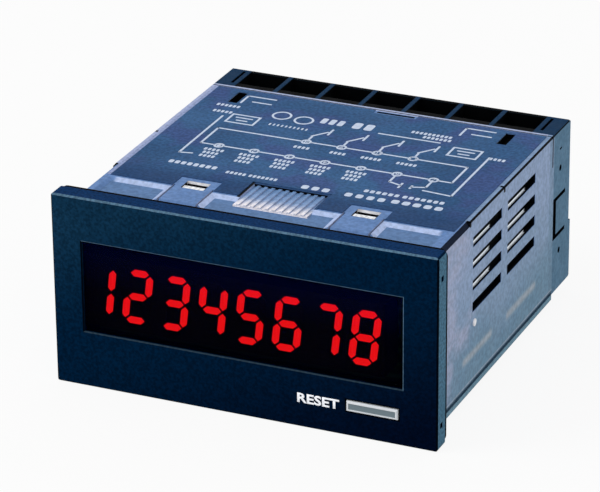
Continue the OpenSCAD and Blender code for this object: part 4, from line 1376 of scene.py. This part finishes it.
    def brackets(self) -> list[bpy.types.Object]:
        """Prints the corner marks beside the rear slots, the two framed fields and two plain rings.

        Returns:
            The marks.
        """
        marks: list[bpy.types.Object] = []
        half, depth = self.corner_half, self.corner_depth
        for middle, start in self.corner_marks:
            left, right, end = middle - half, middle + half, start + depth
            marks += self.path([(left, start), (left, end), (right, end)])
            inner = start + depth / self.corner_parts
            marks.append(self.stroke((middle - half / self.corner_parts, inner), (right, inner)))
        long, high = (part / 2 for part in self.field_size)
        for across, row in self.fields:
            field = Bench.frame_of(self.field_size, self.line, self.ink_thickness)
            marks.append(Bench.put(field, (across, row, self.roof()), Facing.ROOF))
            for share, lift in self.field_rows:
                reach, up = share * long, row + lift * high
                marks.append(self.stroke((across - reach, up), (across + reach, up)))
        for place in self.plain_rings:
            ring = Bench.ring(self.plain_radius, self.line, self.ink_thickness)
            marks.append(Bench.put(ring, (*place, self.roof()), Facing.ROOF))
        return marks

    def rings(self) -> list[bpy.types.Object]:
        """Prints a ring for each terminal.

        Returns:
            The rings, copied from one.
        """
        first = Bench.ring(self.ring_radius, self.line, self.ink_thickness)
        places = self.terminals()
        copies = [first] + [Bench.copy(first) for _ in places[1:]]
        return [Bench.put(ring, (*place, self.roof()), Facing.ROOF) for ring, place in zip(copies, places)]

    def figures(self) -> list[bpy.types.Object]:
        """Prints the terminals' numbers, to be read from the rear.

        Returns:
            The numbers.
        """
        marks = []
        for number, (across, depth) in enumerate(self.terminals(), 1):
            size = (self.figure_widths[len(str(number)) - 1], self.figure_height)
            figure = Bench.lettering(str(number), size, self.figure_weight, self.ink_thickness)
            marks.append(Bench.put(figure, (across, depth, self.roof()), Facing.ROOF_FROM_REAR))
        return marks

    def captions(self) -> list[bpy.types.Object]:
        """Prints the rows of letter-sized blocks.

        Returns:
            The blocks, copied from one in each row, and the ruled line between them.
        """
        rows = [Caption(self.column(place), depth, count)
                for place in range(self.columns - 2) for depth, count in self.front_lines]
        rows += [Caption(across, self.rear_line, count) for across, count in self.rear_lines]
        marks = [self.stroke(*self.rule)]
        for row in (*rows, *self.captions_alone):
            first = Bench.bar(row.letter, self.ink_thickness)
            copies = [first] + [Bench.copy(first) for _ in range(row.count - 1)]
            marks += [Bench.put(block, (across, row.depth, self.roof()), Facing.ROOF)
                      for block, across in zip(copies, row.places())]
        return marks

    def build(self) -> None:
        """Prints the whole diagram on the film."""
        ink = Finish("pale_ink", (214, 226, 244), (196, 210, 236), cloud=0.7, roughness=0.6, specular=0.05,
                     grain=0.1, depth=0.002).build()
        groups = {"wiring_lines": self.wiring, "field_marks": self.brackets, "terminal_rings": self.rings,
                  "terminal_numbers": self.figures, "caption_bars": self.captions}
        for name, make in groups.items():
            self.settle(Bench.join(name, make()), ink, Body.HOUSING)


@dataclass
class TerminalBlock(Assembly):
    """The rear moulding with its plates, washers and screws."""

    def dress(self) -> None:
        """Coats the block and the metal in its bays."""
        self.coat(BlockPlastic("slate_block", (99, 134, 161), (92, 126, 152), cloud=5, roughness=0.6,
                               specular=0.02, grain=0.2, depth=0.005, edge=0.1, speck=0.8, swing=0.12),
                  "terminal_block")
        self.coat(BrushedMetal("plated_brass", (206, 180, 120), (194, 166, 104), cloud=2, roughness=0.32,
                               specular=0.5, grain=0.2, depth=0.003, metallic=1.0),
                  "upper_terminal_plates", "lower_terminal_plates")
        self.coat(BrushedMetal("zinc_plate", (186, 190, 194), (170, 176, 182), cloud=1.5, roughness=0.34,
                               specular=0.5, grain=0.15, depth=0.003, edge=0.05, metallic=1.0),
                  "upper_terminal_screws", "lower_terminal_screws", "upper_clamp_washers",
                  "lower_clamp_washers")


@dataclass
class DisplayUnit(Assembly):
    """The digit blocks, their light windows, the board behind them and the key's switch."""

    def dress(self) -> None:
        """Coats the display and the switch."""
        self.coat(Finish("black_digit_block", (5, 5, 6), (8, 8, 9), cloud=3, roughness=0.6, specular=0.05),
                  "led_module_left", "led_module_right")
        self.coat(LitSegment("lit_segment", (120, 8, 6), (104, 6, 5), cloud=1, roughness=0.5, specular=0.05,
                             depth=0.002), "lit_segments")
        self.coat(Finish("dark_segment", (16, 7, 7), (13, 6, 6), cloud=1, roughness=0.5, specular=0.05,
                         depth=0.002), "dark_segments")
        self.coat(Laminate("green_laminate", (24, 78, 48), (20, 70, 42), cloud=3, roughness=0.4, specular=0.3,
                           track=(44, 112, 70)), "display_board", "main_board", "terminal_board")
        self.coat(Finish("black_switch", (22, 22, 24), (28, 28, 30), cloud=2, roughness=0.55), "reset_switch")
        self.coat(Finish("orange_plunger", (222, 112, 34), (210, 100, 28), cloud=1.5, roughness=0.45),
                  "switch_plunger")


@dataclass
class Electronics(Assembly):
    """The boards' parts inside the case, of which only the side board shows, through the vents."""

    def dress(self) -> None:
        """Coats the inner parts."""
        # painted light: the side board glows a little though it is no lamp
        self.coat(VentBoard("pale_laminate", (242, 249, 255), (236, 244, 254), cloud=3, roughness=0.4,
                            specular=0.01, track=(226, 236, 230), glow=0.55), "side_board")
        self.coat(BrushedMetal("tinned_pin", (202, 198, 186), (190, 184, 170), cloud=1, roughness=0.3,
                               specular=0.5, grain=0.12, depth=0.002, metallic=1.0), "board_link_pins")
        self.coat(StackedSteel("stacked_steel", (120, 122, 126), (104, 106, 110), cloud=2, roughness=0.45,
                               specular=0.5, depth=0.03, metallic=0.8), "transformer_core")
        self.coat(Finish("taped_coil", (224, 206, 150), (214, 194, 136), cloud=3, roughness=0.5, grain=0.6,
                         depth=0.02), "transformer_coil")
        self.coat(Finish("capacitor_sleeve", (28, 34, 58), (34, 40, 66), cloud=4, roughness=0.35,
                         depth=0.002), "filter_capacitors")
        self.coat(Finish("moulded_chip", (26, 26, 28), (32, 32, 34), cloud=0.8, roughness=0.7, grain=0.1),
                  "controller_chip")
        self.coat(Finish("white_coupler", (226, 226, 220), (216, 216, 208), cloud=1, roughness=0.5,
                         grain=0.1), "photocouplers")


@dataclass(frozen=True)
class Lamp:
    """A broad square lamp.

    Attributes:
        name: its name.
        place: where it hangs, in metres.
        size: the length of its sides in metres.
        power: its power in watts.
    """

    name: str
    place: tuple[float, float, float]
    size: float
    power: float

    def hang(self) -> None:
        """Hangs the lamp so that it faces the counter."""
        Bench.clear()
        bpy.ops.object.light_add(type="AREA", location=self.place)
        lamp = bpy.context.object
        lamp.name = self.name
        lamp.data.size = self.size
        lamp.data.energy = self.power
        lamp.rotation_euler = (-Vector(self.place)).to_track_quat("-Z", "Y").to_euler()


@dataclass
class Studio:
    """A pale floor, a soft sky, two broad lamps and the camera; sizes are in millimetres."""

    floor_drop: float = 0.02
    floor_size: float = 4000.0
    floor_share: float = 0.9
    floor_tone: float = 0.85
    sky: float = 0.62
    azimuth: float = 23.845
    elevation: float = 24.144
    roll: float = -0.525
    distance: float = 642.72
    aim: tuple[float, float, float] = (0.0, 25.8, 0.0)
    offset: Point = (-2.096, 1.556)
    focal_pixels: float = 3621.2
    sensor: float = 36.0
    nearest: float = 10.0
    lamps: tuple[Lamp, ...] = (Lamp("key_lamp", (-0.75, -0.45, 0.85), 0.6, 5.0),
                               Lamp("fill_lamp", (0.7, -0.8, 0.5), 0.7, 1.6))

    @staticmethod
    def seen(tree: bpy.types.NodeTree) -> Socket:
        """Marks rays that show the background itself.

        Args:
            tree: the node tree of a material or a world.

        Returns:
            A socket that is 1 for camera, glossy and transmission rays.
        """
        path = tree.nodes.new("ShaderNodeLightPath")
        result = path.outputs["Is Camera Ray"]
        for name in ("Is Glossy Ray", "Is Transmission Ray"):
            either = tree.nodes.new("ShaderNodeMath")
            either.operation = "MAXIMUM"
            tree.links.new(result, either.inputs[0])
            tree.links.new(path.outputs[name], either.inputs[1])
            result = either.outputs[0]
        return result

    def light_world(self) -> None:
        """Makes the even sky, which looks white in itself."""
        world = bpy.data.worlds.new("studio_sky")
        bpy.context.scene.world = world
        world.use_nodes = True
        tree = world.node_tree
        level = tree.nodes.new("ShaderNodeMapRange")
        tree.links.new(self.seen(tree), level.inputs[0])
        level.inputs[3].default_value = self.sky
        level.inputs[4].default_value = 1.0
        background = tree.nodes["Background"]
        background.inputs["Color"].default_value = (1, 1, 1, 1)
        tree.links.new(level.outputs[0], background.inputs["Strength"])

    def lay_floor(self) -> None:
        """Lays the floor, which is white where it is seen and still takes a soft shadow."""
        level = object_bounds()[0][2] - self.floor_drop * MM
        Bench.clear()
        bpy.ops.mesh.primitive_plane_add(size=self.floor_size * MM, location=(0, 0, level))
        floor = bpy.context.object
        floor.name = "studio_floor"
        material = bpy.data.materials.new("pale_floor")
        material.use_nodes = True
        tree = material.node_tree
        tree.nodes.clear()
        output = tree.nodes.new("ShaderNodeOutputMaterial")
        mix = tree.nodes.new("ShaderNodeMixShader")
        matt = tree.nodes.new("ShaderNodeBsdfDiffuse")
        white = tree.nodes.new("ShaderNodeEmission")
        share = tree.nodes.new("ShaderNodeMath")
        share.operation = "MULTIPLY"
        share.inputs[1].default_value = self.floor_share
        matt.inputs["Color"].default_value = (*[self.floor_tone] * 3, 1)
        sources = (self.seen(tree), share.outputs[0], matt.outputs[0], white.outputs[0], mix.outputs[0])
        for source, target in zip(sources, (share.inputs[0], *mix.inputs, output.inputs["Surface"])):
            tree.links.new(source, target)
        floor.data.materials.append(material)
        floor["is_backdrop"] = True

    def set_camera(self) -> None:
        """Sets the camera at the photograph's angle, at the scale of its frame."""
        turn, lift, tip = (math.radians(part) for part in (self.azimuth, self.elevation, self.roll))
        back = Vector((math.sin(turn) * math.cos(lift), -math.cos(turn) * math.cos(lift), math.sin(lift)))
        level_right = (-back).cross(Vector((0, 0, 1))).normalized()
        level_up = level_right.cross(-back)
        right = level_right * math.cos(tip) + level_up * math.sin(tip)
        up = level_up * math.cos(tip) - level_right * math.sin(tip)
        place = Vector(self.aim) + back * self.distance + right * self.offset[0] + up * self.offset[1]
        bpy.ops.object.camera_add(location=place * MM)
        camera = bpy.context.object
        camera.name = "photo_camera"
        camera.rotation_euler = Matrix((right, up, back)).transposed().to_euler()
        camera.data.sensor_fit = "HORIZONTAL"
        camera.data.sensor_width = self.sensor
        camera.data.lens = self.focal_pixels * self.sensor / PHOTO_WIDTH
        camera.data.clip_start = self.nearest * MM
        bpy.context.scene.camera = camera

    def build(self) -> None:
        """Sets the whole studio up."""
        bpy.context.scene.view_settings.view_transform = "Standard"
        self.light_world()
        self.lay_floor()
        for lamp in self.lamps:
            lamp.hang()
        self.set_camera()


def main() -> None:
    """Builds and dresses each sub-assembly, then the studio, and notes the sizes."""
    logging.basicConfig(level=logging.INFO, format="%(name)s: %(message)s")
    front, shell = FrontPanel(), CaseShell()
    for assembly in (front, shell, TerminalBlock(), DisplayUnit(), Electronics()):
        assembly.dress()
    front.build()
    shell.build()
    Studio().build()


if __name__ == "__main__":
    main()
